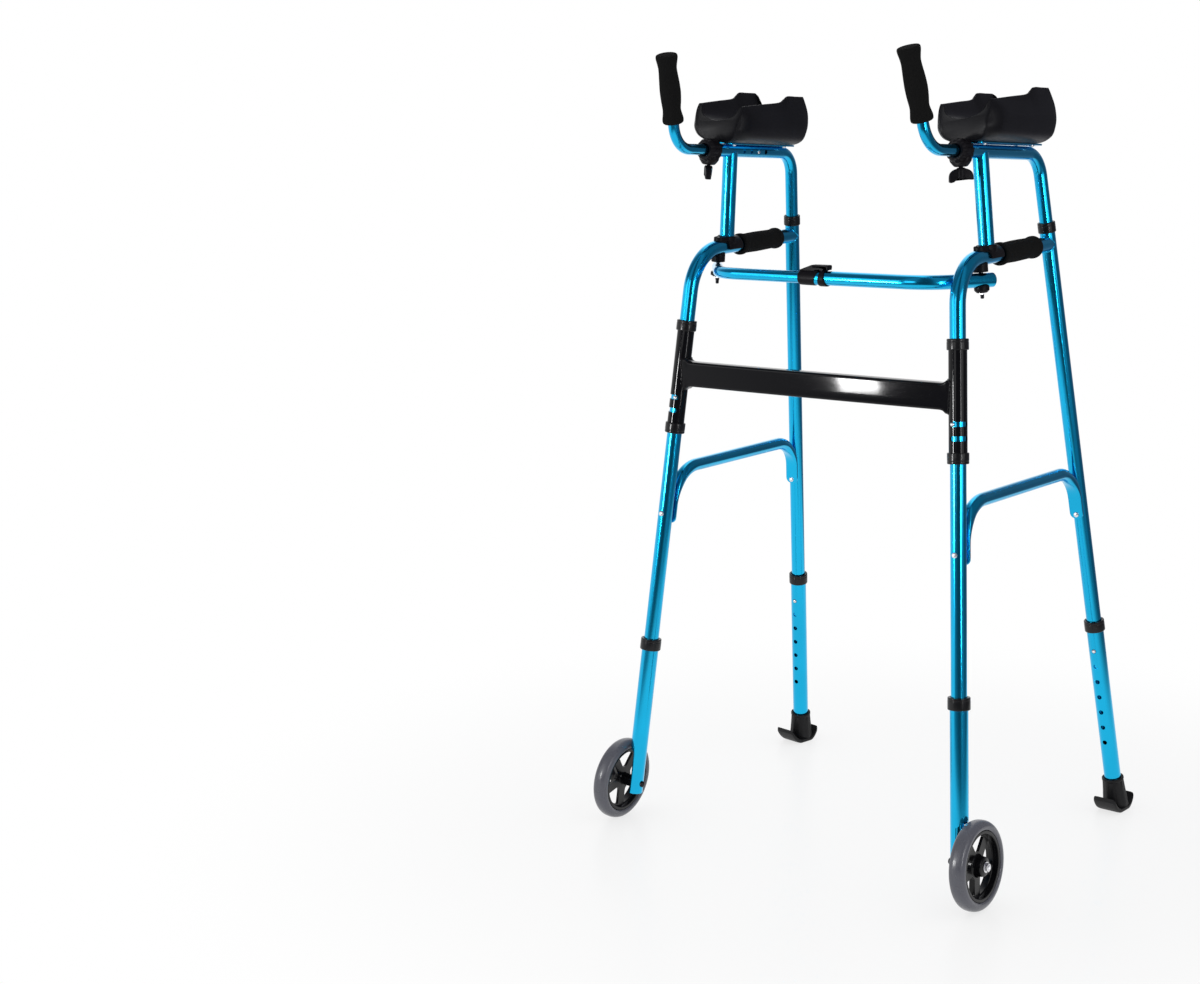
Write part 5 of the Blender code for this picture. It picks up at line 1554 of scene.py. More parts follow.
@dataclass
class TopBar(Assembly):
    """Telescopic bar under the handles, bent back to a pivot at each end, and its lock."""

    z: float = 845.0
    y: float = -92.0
    bend: float = 64.0
    turns: tuple[float, float] = (65.5, 54.0)
    past: tuple[float, float] = (19.0, 17.0)
    washers: tuple[float, float] = (7.0, 4.0)
    spacer_r: float = 10.25
    spacer_bore: float = 4.4
    spacer_top: float = 7.0
    spacer_gap: float = 1.3
    outer_r: float = 10.0
    inner_r: float = 8.5
    outer_end: float = 1.0
    inner_end: float = 70.0
    lock_low: float = -21.0
    lock_high: float = 7.5
    ring_low: float = 13.0
    ring_high: float = 23.0
    hinge: float = 3.5
    tip: float = 26.4

    def build(self) -> None:
        """Makes both tubes, both pivots, the lock body and its lever."""
        for hand, radius, inner, stem in ((Hand.LEFT, self.outer_r, self.outer_end, "outer"),
                                          (Hand.RIGHT, self.inner_r, self.inner_end, "inner")):
            point, end, plan = self.ends(hand)
            corner = point + plan * ((self.y - point[1]) / plan[1])
            start = np.array([inner, self.y, point[2]])
            path = bent([start, corner, end], [self.bend])
            self.add(f"top_bar_{stem}_tube", tube(path, radius, radius - WALL, UP), BLUE,
                     f"top_bar_{hand.tail}", [f"crossbar_{stem}_tube"], run=(path, UP))
            self.pivot(hand, radius)
        self.lock()

    def ends(self, hand: Hand) -> tuple[Array, Array, Array]:
        """Pivot point of a half, its open end, and its direction there, seen from above.

        Args:
            hand: which side.

        Returns:
            Two points and a direction, in the walker's axes.
        """
        point = Axes(hand).walker(HANDLE.at(PIVOT_U) - HANDLE.square * self.drop())
        turn = math.radians(hand.of(self.turns))
        plan = np.array([hand.value * math.cos(turn), math.sin(turn), 0.0])
        return point, point + plan * hand.of(self.past), plan

    def drop(self) -> float:
        """How far the bar's axis lies under the handle's, along the pivot."""
        return (HANDLE.at(PIVOT_U)[2] - self.z * math.hypot(1, LEAN)) / HANDLE.square[2]

    def pivot(self, hand: Hand, radius: float) -> None:
        """Spacer under the handle, cone washer under the bar, and the bolt through them all.

        Args:
            hand: which side.
            radius: the bar's radius there.
        """
        side, pivot, up = Assembly(self.shop, hand), HANDLE.at(PIVOT_U), HANDLE.square
        point, end, plan = self.ends(hand)
        local = side.axes.local
        tool = peg(local(point - plan * 24), local(end + plan * 6), radius + 0.12, 64)
        under, low = MAIN_R + 0.9, self.drop() - radius - self.spacer_gap
        r, bore = self.spacer_r, self.spacer_bore
        spacer = [(bore, -low), (r, -low), (r, -self.spacer_top), (bore, -self.spacer_top)]
        side.add("bar_spacer", turned(soften(spacer, 0.6, 4), pivot, up), MATTE, "side_frame",
                 ["pivot_spacer"], cuts=[carry(handle_line(), OUT, disc(MAIN_R + 0.1))])
        low = self.drop() + radius
        deep = hand.of(self.washers)
        washer = [(3.2, -low - deep), (7.0, -low - deep), (8.2, -low - deep + 1.2), (10.5, -low - deep / 2),
                  (10.5, -low), (10.0, 3.5 - low), (3.2, 3.5 - low)]
        side.add("bar_washer", turned(soften(washer, 1.0, 4), pivot, up), MATTE, "top_bar", cuts=[tool])
        shank = [(0, -low - 15.0), (1.8, -low - 15.0), (2.5, -low - 14.2), (2.5, -low - 11.0),
                 (3.0, -low - 8.0), (3.0, under), (4.6, under), (4.7, under + 2.6), (4.2, under + 3.4),
                 (2.6, under + 3.8), (0, under + 3.9)]
        side.add("bar_bolt", turned(shank, pivot, up, OUT, False, 40), DARK_STEEL, "top_bar",
                 ["pivot_bolt"], crease=24.0)
        nut = [(2.4, -low - deep - 2.2), (3.9, -low - deep - 2.2), (4.4, -low - deep - 1.7),
               (4.4, -low - deep - 0.1), (2.4, -low - deep - 0.1)]
        side.add("bar_nut", turned(nut, pivot, up, OUT, True, 6), BRIGHT, "top_bar", crease=24.0)

    def lock(self) -> None:
        """Tapered body with its rising back, the slanted ring on the outer tube, and the lever."""
        height = self.ends(Hand.LEFT)[0][2]
        axis = np.array([0.0, self.y, height])
        share = np.array([0.0, 0.03, 0.09, 0.3, 0.55, 0.8, 0.94, 0.985, 1.0])
        x = self.lock_low + (self.lock_high - self.lock_low) * share
        grow = np.array([-0.9, -0.3, 0.0, 0.1, 0.2, 0.3, 0.3, 0.1, -0.3])
        ring = self.section(x, self.outer_r + FIT + 0.35 + grow, 1.2 * share, 3.0 * share ** 3)
        bore = np.where(x < self.outer_end - 1, self.inner_r + FIT, self.outer_r + 0.1)
        hole = self.section(x, bore, 0 * x, 3.0 * share ** 3)[::-1]
        body = skin(np.concatenate([ring, hole]) + axis, looped=True)
        x = self.ring_low + (self.ring_high - self.ring_low) * np.array([0.0, 0.08, 0.2, 0.8, 0.92, 1.0])
        outer = self.outer_r + np.array([1.0, 1.5, 1.7, 1.7, 1.5, 1.0])
        lean = np.array([1.6, 1.4, 1.0, -1.2, -1.6, -1.8])
        band = skin(np.concatenate([self.section(x, outer, 0 * x, lean),
                                    self.section(x, np.full(6, self.outer_r + 0.1), 0 * x, lean)[::-1]])
                    + axis, looped=True)
        top, stop = self.outer_r + FIT, self.hinge - 1.6
        back = [(self.lock_low + 1.4, top - 0.8), (self.lock_low + 1.0, top + 0.5), (stop - 1.6, top + 7.9),
                (stop, top + 8.0), (stop, top + 4.8), (self.ring_high - 1.6, top + 4.8),
                (self.ring_high - 1.4, top + 3.2), (self.ring_high - 4.0, top + 1.4),
                (self.ring_high - 5.0, top - 0.6), (self.ring_low + 1.0, top - 0.6),
                (self.ring_low - 0.2, top + 1.2), (self.lock_high, top + 0.9),
                (self.lock_high - 3, top - 0.8)]
        bridge = slab(soften(back, 0.8, 4), 6.4, 0.9, axis, OUT, UP)
        self.add("top_bar_lock", body + band + bridge, MATTE, "top_bar_left", ["crossbar_lock_body"],
                 crease=34.0)
        low, tip, root = top + 5.2, self.tip, self.hinge - 1.1
        lever = [(root, low), (tip - 3.2, low), (tip - 2.6, low - 1.0), (tip - 2.7, top + 1.2),
                 (tip - 1.2, top + 0.7), (tip - 0.2, top + 1.6), (tip + 0.3, low + 0.8),
                 (tip - 0.6, low + 2.6), (tip - 2.6, low + 2.8), (root + 0.4, low + 2.8)]
        self.add("top_bar_lock_lever", slab(soften(lever, 0.9, 5), 6.4, 0.8, axis, OUT, UP), MATTE,
                 "bar_lock_lever", ["crossbar_lock_lever"], crease=34.0)

    def section(self, x: Array, radius: Array, rise: Array, lean: Array) -> Array:
        """Rings across the bar: circles whose upper half stands higher, leaning along x.

        A point is (x + lean * sin t, r cos t, (r + rise * max(0, sin t)) sin t).

        Args:
            x, radius, rise, lean: one value for each ring.

        Returns:
            The rings.
        """
        t = np.linspace(0, 2 * np.pi, ROUND, endpoint=False)
        r = radius[:, None]
        z = (r + rise[:, None] * np.maximum(0, np.sin(t))) * np.sin(t)
        return np.stack([x[:, None] + lean[:, None] * np.sin(t), r * np.cos(t), z], -1)


@dataclass
class Platform(Assembly):
    """Bent platform tube on its post and saddle, with the trough's plate and screws."""

    bend: float = 40.0
    front_u: float = -61.0
    tail_w: float = 855.5
    post_from: float = 14.0
    post_u: float = 6.8
    post_lean: float = -0.05
    saddle_from: float = -4.0
    saddle_to: float = 31.0
    saddle_r: float = 14.6
    skirt: float = 0.2
    boss_r: float = 14.2
    boss_top: float = 16.2
    tongue_r: float = 8.0
    plate_from: float = -25.0
    plate_to: float = 156.0
    plate_wide: float = 32.0
    plate_thick: float = 2.5
    screw_u: tuple[float, float] = (-11.5, 126.5)
    screw_n: float = 12.7
    hole_pitch: float = 20.0

    def build(self) -> None:
        """Makes the tube, post, weld, saddle, plate and screws."""
        path = bent([PLATFORM.at(self.front_u), PLATFORM_REAR, REAR.at(self.tail_w)], [self.bend])
        middles = [PLATFORM.at(REACH_HOLE_U + k * self.hole_pitch) for k in (-2, -1, 0, 1)]
        holes = [peg(middle - OUT * 5, middle - OUT * 14, BUTTON_HOLE_R) for middle in middles]
        self.add("platform_tube", tube(path, PLATFORM_R, PLATFORM_R - WALL), BLUE, "side_frame",
                 ["platform_frame"], cuts=holes, run=(path, OUT))
        foot = HANDLE.at(self.post_u) + HANDLE.square * self.post_from
        post_way = unit((0.0, self.post_lean, 1.0))
        top = CentreLine(foot[1] - self.post_lean * foot[2], self.post_lean).meet(PLATFORM)
        post = np.stack([foot, top - post_way * 2])
        self.add("platform_post", carry(post, OUT, disc(POST_R)), BLUE, "side_frame", run=(post, OUT),
                 cuts=[peg(PLATFORM.at(-60.0), PLATFORM.at(60.0), PLATFORM_R - 0.5, 72)])
        rim = coped(foot, post_way, POST_R - 1.7, top, PLATFORM.way, PLATFORM_R)
        self.add("platform_post_weld", bead(rim, 1.4), BLUE, "side_frame", run=(post, OUT))
        self.saddle()
        self.plate()

    def saddle(self) -> None:
        """Half shell over the handle, the boss the post stands in, and a tongue round the bolt."""
        middle = HANDLE.at((self.saddle_from + self.saddle_to) / 2)
        half = (self.saddle_to - self.saddle_from) / 2
        inner, outer, high, r = MAIN_R + 0.1, self.saddle_r, self.boss_top, self.boss_r
        a = np.linspace(-self.skirt, math.pi + self.skirt, 37)
        rim = np.concatenate([arc(outer, a), arc(inner, a[::-1])])
        shell = slab(soften(rim, 0.7, 4), half, 0.7, middle, OUT, HANDLE.square)
        ring = [(POST_R + SLIP, 5.5), (r, 5.5), (r, high), (POST_R + SLIP, high)]
        boss = turned(soften(ring, 1.2, 5), HANDLE.at(self.post_u), HANDLE.square)
        self.add("platform_mount_saddle", shell + boss, MATTE, "side_frame", ["platform_saddle"],
                 crease=30.0)
        a = np.linspace(math.pi / 2, math.pi * 1.5, 25)
        reach = self.post_u - PIVOT_U - r * 0.7
        flat = np.array([[reach, -r * 0.66], [reach, r * 0.66]])
        seat = HANDLE.at(PIVOT_U)
        tongue = slab(np.concatenate([arc(self.tongue_r, a), flat]), (high - 7.2) / 2, 1.6,
                      seat + HANDLE.square * (high + 7.0) / 2, HANDLE.way, OUT)
        self.add("platform_saddle_tongue", tongue, MATTE, "side_frame", crease=30.0,
                 cuts=[peg(seat, seat + HANDLE.square * 30, 5.8)])

    def plate(self) -> None:
        """Flat plate with rounded corners over the tube, and four domed screws under it."""
        ends = PLATFORM.at([self.plate_from, self.plate_to])
        start, end = ends
        length, low = float(np.linalg.norm(end - start)), PLATFORM_R + 0.3
        wide = self.plate_wide / 2
        outline = soften([(-wide, 0), (wide, 0), (wide, length), (-wide, length)], 7.0, 9)
        base = start + PLATFORM.square * (low + self.plate_thick / 2)
        self.add("trough_base_plate", slab(outline, self.plate_thick / 2, 0.6, base, OUT, PLATFORM.way),
                 BLUE, "side_frame", ["trough_plate"], run=(ends, OUT))
        dome = [(0, low - 2.6), (1.5, low - 2.5), (2.7, low - 1.9), (3.4, low - 0.9), (3.6, low),
                (2.2, low + 0.1), (2.2, low + 10.5), (0, low + 10.5)]
        shell = None
        for u in self.screw_u:
            for n in (-self.screw_n, self.screw_n):
                screw = turned(dome, PLATFORM.at(u) + OUT * n, PLATFORM.square, OUT, False, 28)
                shell = screw if shell is None else shell + screw
        self.add("trough_screws", shell, BRIGHT, "side_frame")


@dataclass
class Trough(Assembly):
    """Moulded forearm rest: an open channel with bulging sides and two rear ears."""

    front: Pairs = ((1031.0, -35.0), (1048.0, -46.0), (1066.0, -43.5),
                                              (1088.5, -33.0))
    back: Pairs = ((1031.0, 134.5), (1045.0, 136.5), (1078.0, 137.5),
                                             (1103.0, 120.5))
    rim: Pairs = ((0.0, 1088.5), (0.574, 1094.3), (0.736, 1103.2), (1.0, 1102.6))
    floor: Pairs = ((0.0, 1066.0), (0.5, 1061.0), (1.0, 1058.0))
    half_front: float = 39.5
    half_ear: float = 45.0
    half_most: float = 48.6
    base_half: float = 24.0
    rim_thick: float = 4.5
    fine: int = 5

    def build(self) -> None:
        """Makes the trough from its net of points, drawn through by smooth curves."""
        net = smooth_rows(self.net(), self.fine, True)
        net = np.swapaxes(smooth_rows(np.swapaxes(net, 0, 1), self.fine, False), 0, 1)
        thing = self.add("moulded_forearm_trough", self.closed(net), PAD, "side_frame",
                         ["forearm_trough"], crease=60.0)

    def base(self) -> float:
        """Height of the underside over u = 0."""
        return PLATFORM.offset + PLATFORM_R + 2.5 + 0.7

    def net(self) -> Array:
        """Outlines across the trough at stations along it, as stations x points x 3.

        Each outline runs from the middle of the underside over one side, round its rim and
        down to the middle of the channel, and back over the other side.

        Returns:
            The net, as (n, u, w).
        """
        part = np.array([0.0, 0.0, 0.06, 0.16, 0.35, 0.574, 0.66, 0.736, 0.87, 0.97, 1.0])
        squeeze = np.array([0.74, 0.88, 0.97, 1.0, 1.0, 1.0, 1.0, 1.0, 0.995, 0.985, 0.965])
        push = np.array([0.0, 7.0, 6.0, 0.0, 0.0, 0.0, 0.0, 0.0, 0.0, 0.0, 0.0])
        base = self.base()
        rim = np.interp(part, *np.transpose(self.rim))
        floor = np.interp(part, *np.transpose(self.floor))
        top = self.half_front + (self.half_ear - self.half_front) * np.minimum(1, part / 0.7)
        wide = self.half_most * squeeze
        n = np.stack([self.base_half * squeeze, wide * 0.84, wide * 0.97, wide,
                      np.maximum(wide * 0.96, top + 0.6), top, top - self.rim_thick * 0.5,
                      top - self.rim_thick, top * 0.76, top * 0.46], -1)
        w = np.stack([np.full_like(rim, base), np.full_like(rim, base + 6.5),
                      np.full_like(rim, base + 18), np.full_like(rim, base + 30),
                      base + 43 + (rim - 1088.5) * 0.3, rim - 1.0, rim, rim - 1.5,
                      floor + (rim - floor) * 0.42, floor + (rim - floor) * 0.13], -1)
        zero = np.zeros((len(part), 1))
        n = np.concatenate([zero, n, zero, -n[:, ::-1]], 1)
        w = np.concatenate([zero + base, w, floor[:, None], w[:, ::-1]], 1)
        front = np.interp(w, *np.transpose(self.front))
        back = np.interp(w, *np.transpose(self.back))
        outer = push[:, None] * np.where(w < rim[:, None] - 12, 1.0, 0.25)
        u = front + (back - front) * part[:, None] + outer
        fade = np.maximum(0, 1 - (w - base) / (self.floor[-1][1] - base))
        return np.stack([n, u, w + PLATFORM.slope * u * fade], -1)

    def closed(self, net: Array) -> Shell:
        """Skin whose two ends are filled by rows that shrink towards their middle.

        Args:
            net: stations x points x 3.

        Returns:
            The capped surface.
        """
        caps = []
        for row, way in ((net[0], -1.0), (net[-1], 1.0)):
            middle = row.mean(0)
            shrink = np.array([0.97, 0.9])[:, None, None]
            cap = middle + (row - middle) * shrink
            cap[..., 1] += way * np.array([0.5, 0.8])[:, None]
            caps.append(cap)
        return skin(np.concatenate([caps[0][::-1], net, caps[1]]))


@dataclass
class Handgrip(Assembly):
    """Bent tube that slides in the platform tube, with its foam, clamp and wing screw."""

    tail_u: float = 78.0
    corner_u: float = -141.5
    bend: float = 45.0
    lean: float = 106.2
    foam_low: float = 38.2
    foam_long: float = 98.3
    foam_r: float = 15.6
    clamp_from: float = -71.0
    clamp_to: float = -45.0
    clamp_r: float = 16.5
    knob_u: float = -55.0
    knob_top: float = 1000.5
    knob_tall: float = 17.5
    knob_r: float = 16.5
    knob_thick: float = 11.0
    knob_turns: tuple[float, float] = (38.0, 52.0)
    boss_low: float = 1002.2

    def build(self) -> None:
        """Makes the tube, button, foam, clamp and wing screw."""
        corner = PLATFORM.at(self.corner_u)
        up = self.upright()
        top = corner + up * (self.foam_low + self.foam_long - 6)
        path = bent([PLATFORM.at(self.tail_u), corner, top], [self.bend])
        self.add("handgrip_bent_tube", tube(path, GRIP_TUBE_R, GRIP_TUBE_R - WALL), BLUE, "handgrip",
                 ["handgrip_tube"], run=(path, OUT))
        button = button_shell(PLATFORM.at(REACH_HOLE_U), -OUT, PLATFORM.way, GRIP_TUBE_R - WALL,
                              PLATFORM_R + 1.4)
        self.add("reach_lock_button", button, BRIGHT, "reach_button", ["platform_snap_button"])
        self.foam()
        self.clamp()

    def upright(self) -> Array:
        """Direction of the tube's upright part."""
        lean = math.radians(self.lean)
        return np.array([0.0, math.cos(lean), math.sin(lean)])

    def foam(self) -> None:
        """Contoured foam: nearly straight in front, with finger hollows behind.

        The radius at a turn t is front + (rear - front) * (0.5 + 0.5 cos(t))^0.8, with t from
        the rear, and both are smooth curves of the height.
        """
        up = self.upright()
        low = PLATFORM.at(self.corner_u) + up * self.foam_low
        share = np.array([0.0, 0.012, 0.035, 0.07, 0.12, 0.19, 0.25, 0.31, 0.385, 0.46, 0.54, 0.62,
                          0.71, 0.8, 0.87, 0.92, 0.955, 0.98, 0.994, 1.0])
        r = self.foam_r
        rear = r - np.array([2.4, 1.0, 0.45, 0.5, 1.6, 3.0, 2.4, 1.4, 0.6, 0.25, 0.6, 1.3, 2.3, 2.9, 1.7,
                             0.5, 0.0, 0.15, 0.9, 2.2])
        ahead = r - np.array([2.4, 1.0, 0.45, 0.6, 1.4, 2.0, 1.9, 1.6, 1.3, 1.2, 1.3, 1.5,
                              1.8, 1.9, 1.2, 0.4, 0.0, 0.15, 0.9, 2.2])
        table = np.stack([share * self.foam_long, rear, ahead], -1)[:, None]
        table = smooth_rows(np.swapaxes(table, 0, 1), 6, False)[0]
        side = np.cross(up, OUT)
        side = side if side[1] > 0 else -side
        t = np.linspace(0, 2 * np.pi, ROUND, endpoint=False)
        mix = (0.5 + 0.5 * np.cos(t)) ** 0.8
        radius = table[:, 2:] + (table[:, 1:2] - table[:, 2:]) * mix
        ring = radius[..., None] * (np.cos(t)[:, None] * side + np.sin(t)[:, None] * OUT)
        rings = low + table[:, :1, None] * up + ring
        lid = low + up * self.foam_long + ring[-1:] * np.array([0.5, 0.02])[:, None, None]
        hole = peg(low - up * 4, low + up * (self.foam_long - 5.5), GRIP_TUBE_R + SLIP, ROUND)
        thing = self.add("contoured_handgrip_foam", skin(np.concatenate([rings, lid])), FOAM, "handgrip",
                         ["handgrip_foam"], crease=50.0, cuts=[hole])

    def clamp(self) -> None:
        """Faceted clamp round both tubes, its boss, and the wing screw under it."""
        middle = PLATFORM.at(self.clamp_to)
        deep = float(np.linalg.norm(PLATFORM.at(self.clamp_from) - middle))
        r = self.clamp_r
        ring = [(PLATFORM_R + SLIP, 0), (r - 1.0, 0), (r, 1.4), (r, 6.0), (r - 0.8, 6.8), (r - 0.8, 9.0),
                (r, 9.8), (r, deep - 5.5), (r - 3.0, deep), (GRIP_TUBE_R + 1.2, deep),
                (GRIP_TUBE_R + SLIP, deep - 5), (GRIP_TUBE_R + SLIP, deep - 9),
                (PLATFORM_R + SLIP, deep - 9.4)]
        body = turned(soften(ring, 0.8, 4), middle, -PLATFORM.way, OUT, True, 96)
        rel = body.points - middle
        radial = rel - np.outer(rel @ PLATFORM.way, PLATFORM.way)
        size = np.linalg.norm(radial, axis=1)
        angle = np.arctan2(radial @ PLATFORM.square, radial[:, 0])
        flats = np.where(size > r - 3.5, 0.9 * (np.abs(np.cos(6 * angle)) - 1), 0)
        body.points = body.points + radial / size[:, None] * flats[:, None]
        seat = PLATFORM.at(self.knob_u)
        low = float(seat[2] - self.boss_low)
        level = np.array([-low, -low + 0.5, -low + 1.6, -low + 4.2, -14.5, -11.0, -8.0])
        boss = oval(np.array([7.2, 8.6, 9.8, 12.2, 14.6, 15.6, 15.2]),
                    np.array([6.2, 7.6, 8.8, 9.4, 9.8, 9.8, 9.4]), np.full(7, 2.6))
        body = body + skin(seat + PLATFORM.square * level[:, None, None] + boss[..., :1] * OUT
                           + boss[..., 1:] * PLATFORM.way)
        self.add("handgrip_tube_clamp", body, MATTE, "side_frame", ["handgrip_clamp"], crease=30.0)
        self.knob()

    def knob(self) -> None:
        """Wing screw: two lobes on a hub, the inner one hanging lower, thinner at their tips."""
        seat, up = PLATFORM.at(self.knob_u), PLATFORM.square
        turn = math.radians(self.hand.of(self.knob_turns))
        head = seat - up * float(seat[2] - self.knob_top)
        x = unit(OUT * math.cos(turn) + np.cross(up, OUT) * math.sin(turn))
        r, tall = self.knob_r, self.knob_tall
        a = np.linspace(0, math.pi, 25)
        top = np.stack([r * np.cos(a), -tall * 0.9 + tall * 0.9 * np.sin(a) ** 0.62], -1)
        low = [(-r, -tall - 0.6), (-r * 0.84, -tall - 1.9), (-r * 0.6, -tall - 1.2),
               (-r * 0.36, -tall * 0.86), (0.0, -tall * 0.8), (r * 0.4, -tall * 0.84),
               (r * 0.7, -tall * 0.9), (r * 0.96, -tall * 0.92)]
        outline = soften(np.concatenate([top, low]), 1.2, 4)
        shell = slab(outline, self.knob_thick / 2, 1.8, head, x, up)
        rel = shell.points - head
        along = rel @ x
        side = np.cross(up, x)
        thin = 1 - 0.38 * np.clip((np.abs(along) - 4.0) / r, 0, 1)
        shell.points = shell.points - np.outer((rel @ side) * (1 - thin), side)
        hub = [(0, -15.0), (4.6, -15.0), (5.8, -13.8), (6.3, -2.0), (5.2, 0.6), (0, 0.6)]
        shell = shell + turned(soften(hub, 0.5, 3, False), head, up, OUT, False, 40)
        shell = shell + peg(head - up * 3, seat - up * (PLATFORM_R + FIT), 3.0)
        self.add("wing_screw", shell, MATTE, "clamp_knob", ["clamp_knob"], crease=30.0)


def stood(right: Array, up: Array, back: Array, place: Sequence[float] | Array) -> Matrix:
    """Matrix of a thing at a place, whose x, y and z look right, up and back."""
    rows = np.column_stack([right, up, back, place]).tolist()
    return Matrix([*rows, [0.0, 0.0, 0.0, 1.0]])


@dataclass
class Studio:
    """Camera, soft light and the white room round the walker."""

    lens: float = 58.83
    place: tuple[float, float, float] = (1.47145, -2.5294, 1.06483)
    yaw: float = 38.26
    pitch: float = 10.74
    roll: float = -0.5
    plain: float = 0.86
    lamps: tuple[tuple[str, float, float, float, tuple[float, float], float], ...] = (
        ("left_window", -123.0, 2.1, 1.3, (0.9, 0.8), 1.3),
        ("left_panel", -90.0, 2.1, 1.15, (0.8, 0.9), 1.5),
        ("left_strip", -114.7, 2.12, 0.58, (0.13, 0.32), 110.0),
        ("right_strip", -28.0, 2.0, 0.75, (0.10, 0.9), 20.0),
        ("right_panel", -13.0, 2.0, 1.05, (1.1, 1.0), 1.4))
    low_room: Pairs = (
        (-180, 0.95), (-150, 0.95), (-130, 0.85), (-118, 0.2), (-84, 0.12), (-72, 0.07), (-46, 0.07),
        (-36, 0.2), (0, 0.25), (18, 0.12), (60, 0.12), (92, 0.3), (112, 0.9), (124, 1.1), (146, 1.1),
        (158, 0.9), (180, 0.95))
    high_room: Pairs = (
        (-180, 0.2), (-130, 0.12), (-110, 0.3), (-84, 0.3), (-70, 0.08), (-46, 0.08), (-36, 0.3),
        (0, 0.3), (15, 0.15), (100, 0.15), (112, 0.7), (120, 1.3), (140, 1.2), (155, 0.6), (180, 0.2))

    def build(self) -> None:
        """Sets the camera, the world, the lamps and the floor."""
        self.camera()
        self.world()
        for name, turn, away, height, size, level in self.lamps:
            self.lamp(name, turn, away, height, size, level)
        self.floor()
        bpy.context.scene.view_settings.view_transform = "Standard"

    def camera(self) -> None:
        """Looks along yaw and pitch; the roll turns the picture about that line."""
        a, e, r = (math.radians(v) for v in (self.yaw, self.pitch, self.roll))
        ahead = np.array([-math.sin(a) * math.cos(e), math.cos(a) * math.cos(e), -math.sin(e)])
        right = np.array([math.cos(a), math.sin(a), 0.0])
        up = np.cross(right, ahead)
        right, up = right * math.cos(r) + up * math.sin(r), up * math.cos(r) - right * math.sin(r)
        data = bpy.data.cameras.new("camera")
        data.lens, data.sensor_width, data.clip_start = self.lens, 36.0, 0.05
        camera = bpy.data.objects.new("camera", data)
        camera.matrix_world = stood(right, up, -ahead, self.place)
        bpy.context.scene.collection.objects.link(camera)
        bpy.context.scene.camera = camera

    def lamp(self, name: str, turn: float, away: float, height: float,
             size: tuple[float, float], level: float) -> None:
        """Upright soft panel that looks at the walker and is seen in glossy skins alone.

        Args:
            name: the lamp's name.
            turn: compass turn it stands at, in degrees.
            away: its distance from the middle, in metres.
            height: height of its middle, in metres.
            size: its width and height, in metres.
            level: its radiance; its power is level * pi * width * height.
        """
        data = bpy.data.lights.new(name, "AREA")
        data.shape, data.size, data.size_y = "RECTANGLE", *size
        data.energy = level * math.pi * size[0] * size[1]
        lamp = bpy.data.objects.new(name, data)
        a = math.radians(turn)
        back = np.array([math.cos(a), math.sin(a), 0.0])
        lamp.matrix_world = stood(np.cross(UP, back), UP, back, back * away + UP * height)
        lamp.visible_camera = lamp.visible_diffuse = False
        bpy.context.scene.collection.objects.link(lamp)

    def world(self) -> None:
        """White to the camera, a plain level to matt surfaces, and the room to gloss.

        The room is two ramps over the compass turn of the ray, a low and a high one, and
        the ray's height above the horizon leads from one to the other.
        """
        world = bpy.data.worlds.new("studio")
        world.use_nodes = True
        bench = Bench(world.node_tree)
        ray = bench.node("ShaderNodeLightPath").outputs
        way = bench.node("ShaderNodeTexCoord").outputs["Generated"]
        axes = bench.node("ShaderNodeSeparateXYZ", {}, {0: way}).outputs
        around = bench.level("ShaderNodeMath", {"operation": "ARCTAN2"}, {0: axes[1], 1: axes[0]})
        share = around * (1 / (2 * math.pi)) + 0.5
        low, high = (bench.node("ShaderNodeValToRGB", {"stops": self.stops(room)}, {0: share}).outputs[0]
                     for room in (self.low_room, self.high_room))
        room = bench.blend(Level(bench, axes[2]).spread(0.12, 0.36), low, high)
        plain = bench.node("ShaderNodeBackground", {}, {"Color": (1.0, 1.0, 1.0), "Strength": self.plain})
        gloss = bench.node("ShaderNodeBackground", {}, {"Color": room, "Strength": 1.0})
        white = bench.node("ShaderNodeBackground", {}, {"Color": (1.0, 1.0, 1.0), "Strength": 1.0})
        first = bench.either(ray["Is Glossy Ray"], plain, gloss)
        second = bench.either(ray["Is Camera Ray"], first, white)
        bench.node("ShaderNodeOutputWorld", {}, {"Surface": second.outputs[0]})
        bpy.context.scene.world = world

    def stops(self, room: Sequence[tuple[float, float]]) -> list[tuple[float, Colour]]:
        """Stops of a ramp from turns in degrees and their levels, bluer where they are dim."""
        return [((turn + 180) / 360, (v, v, v + 0.25 * v * (1 - min(1.0, v)))) for turn, v in room]

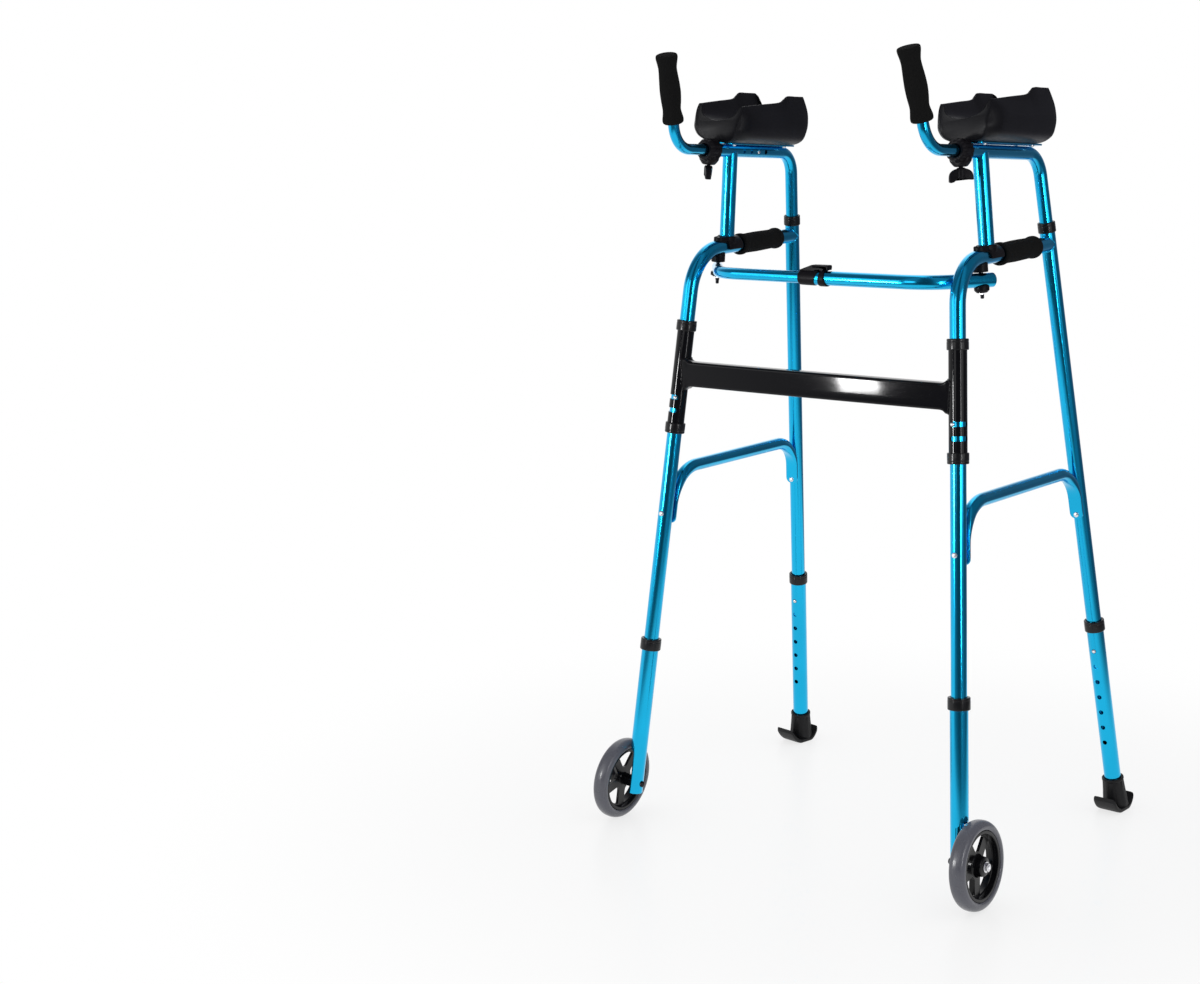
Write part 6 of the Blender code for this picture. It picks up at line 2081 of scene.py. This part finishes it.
    def floor(self) -> None:
        """Plain pale floor that turns into the white background away from the walker."""
        size = 14.0
        corners = np.array([[-size, -size, 0], [size, -size, 0], [size, size, 0], [-size, size, 0]], float)
        data = bpy.data.meshes.new("studio_floor")
        data.from_pydata(corners.tolist(), [], [(0, 1, 2, 3)])
        floor = bpy.data.objects.new("studio_floor", data)
        made = bpy.data.materials.new("studio_floor_paint")
        made.use_nodes = True
        bench = Bench(made.node_tree)
        ray = bench.node("ShaderNodeLightPath").outputs
        where = bench.node("ShaderNodeTexCoord").outputs["Object"]
        length = bench.node("ShaderNodeVectorMath", {"operation": "LENGTH"}, {0: where})
        far = Level(bench, length.outputs["Value"])
        paint = bench.node("ShaderNodeBsdfPrincipled", {},
                           {"Base Color": (0.93, 0.93, 0.93), "Roughness": 0.3, "Specular IOR Level": 0.3})
        mirrored = Level(bench, ray["Is Glossy Ray"])
        side = Level(bench, bench.node("ShaderNodeSeparateXYZ", {}, {0: where}).outputs[0])
        dim = bench.blend(mirrored * side.spread(0.5, 1.5), (0.95, 0.95, 0.95), (0.2, 0.2, 0.21))
        level = bench.blend(Level(bench, ray["Is Camera Ray"]), dim, (1.0, 1.0, 1.0))
        glow = bench.node("ShaderNodeEmission", {}, {"Color": level, "Strength": 1.0})
        clear = bench.node("ShaderNodeBsdfTransparent")
        seen = Level(bench, ray["Is Camera Ray"]) * far.spread(0.45, 1.15, 0.74, 1.0)
        first = bench.either(seen + mirrored, paint, glow)
        second = bench.either(mirrored * far.spread(1.1, 1.8), first, clear)
        bench.node("ShaderNodeOutputMaterial", {}, {"Surface": second.outputs[0]})
        data.materials.append(made)
        bpy.context.scene.collection.objects.link(floor)


def main() -> None:
    """Loads the frame, builds every assembly on it, and sets up the studio."""
    logging.basicConfig(level=logging.INFO, format="%(name)s: %(message)s")
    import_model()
    shop = Workshop()
    CrossMember(shop).build()
    TopBar(shop).build()
    for hand in Hand:
        for kind in (SideFrame, SideBrace, Legs, Foot, Wheel, Platform, Trough, Handgrip):
            kind(shop, hand).build()
    Studio().build()
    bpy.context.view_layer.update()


if __name__ == "__main__":
    main()
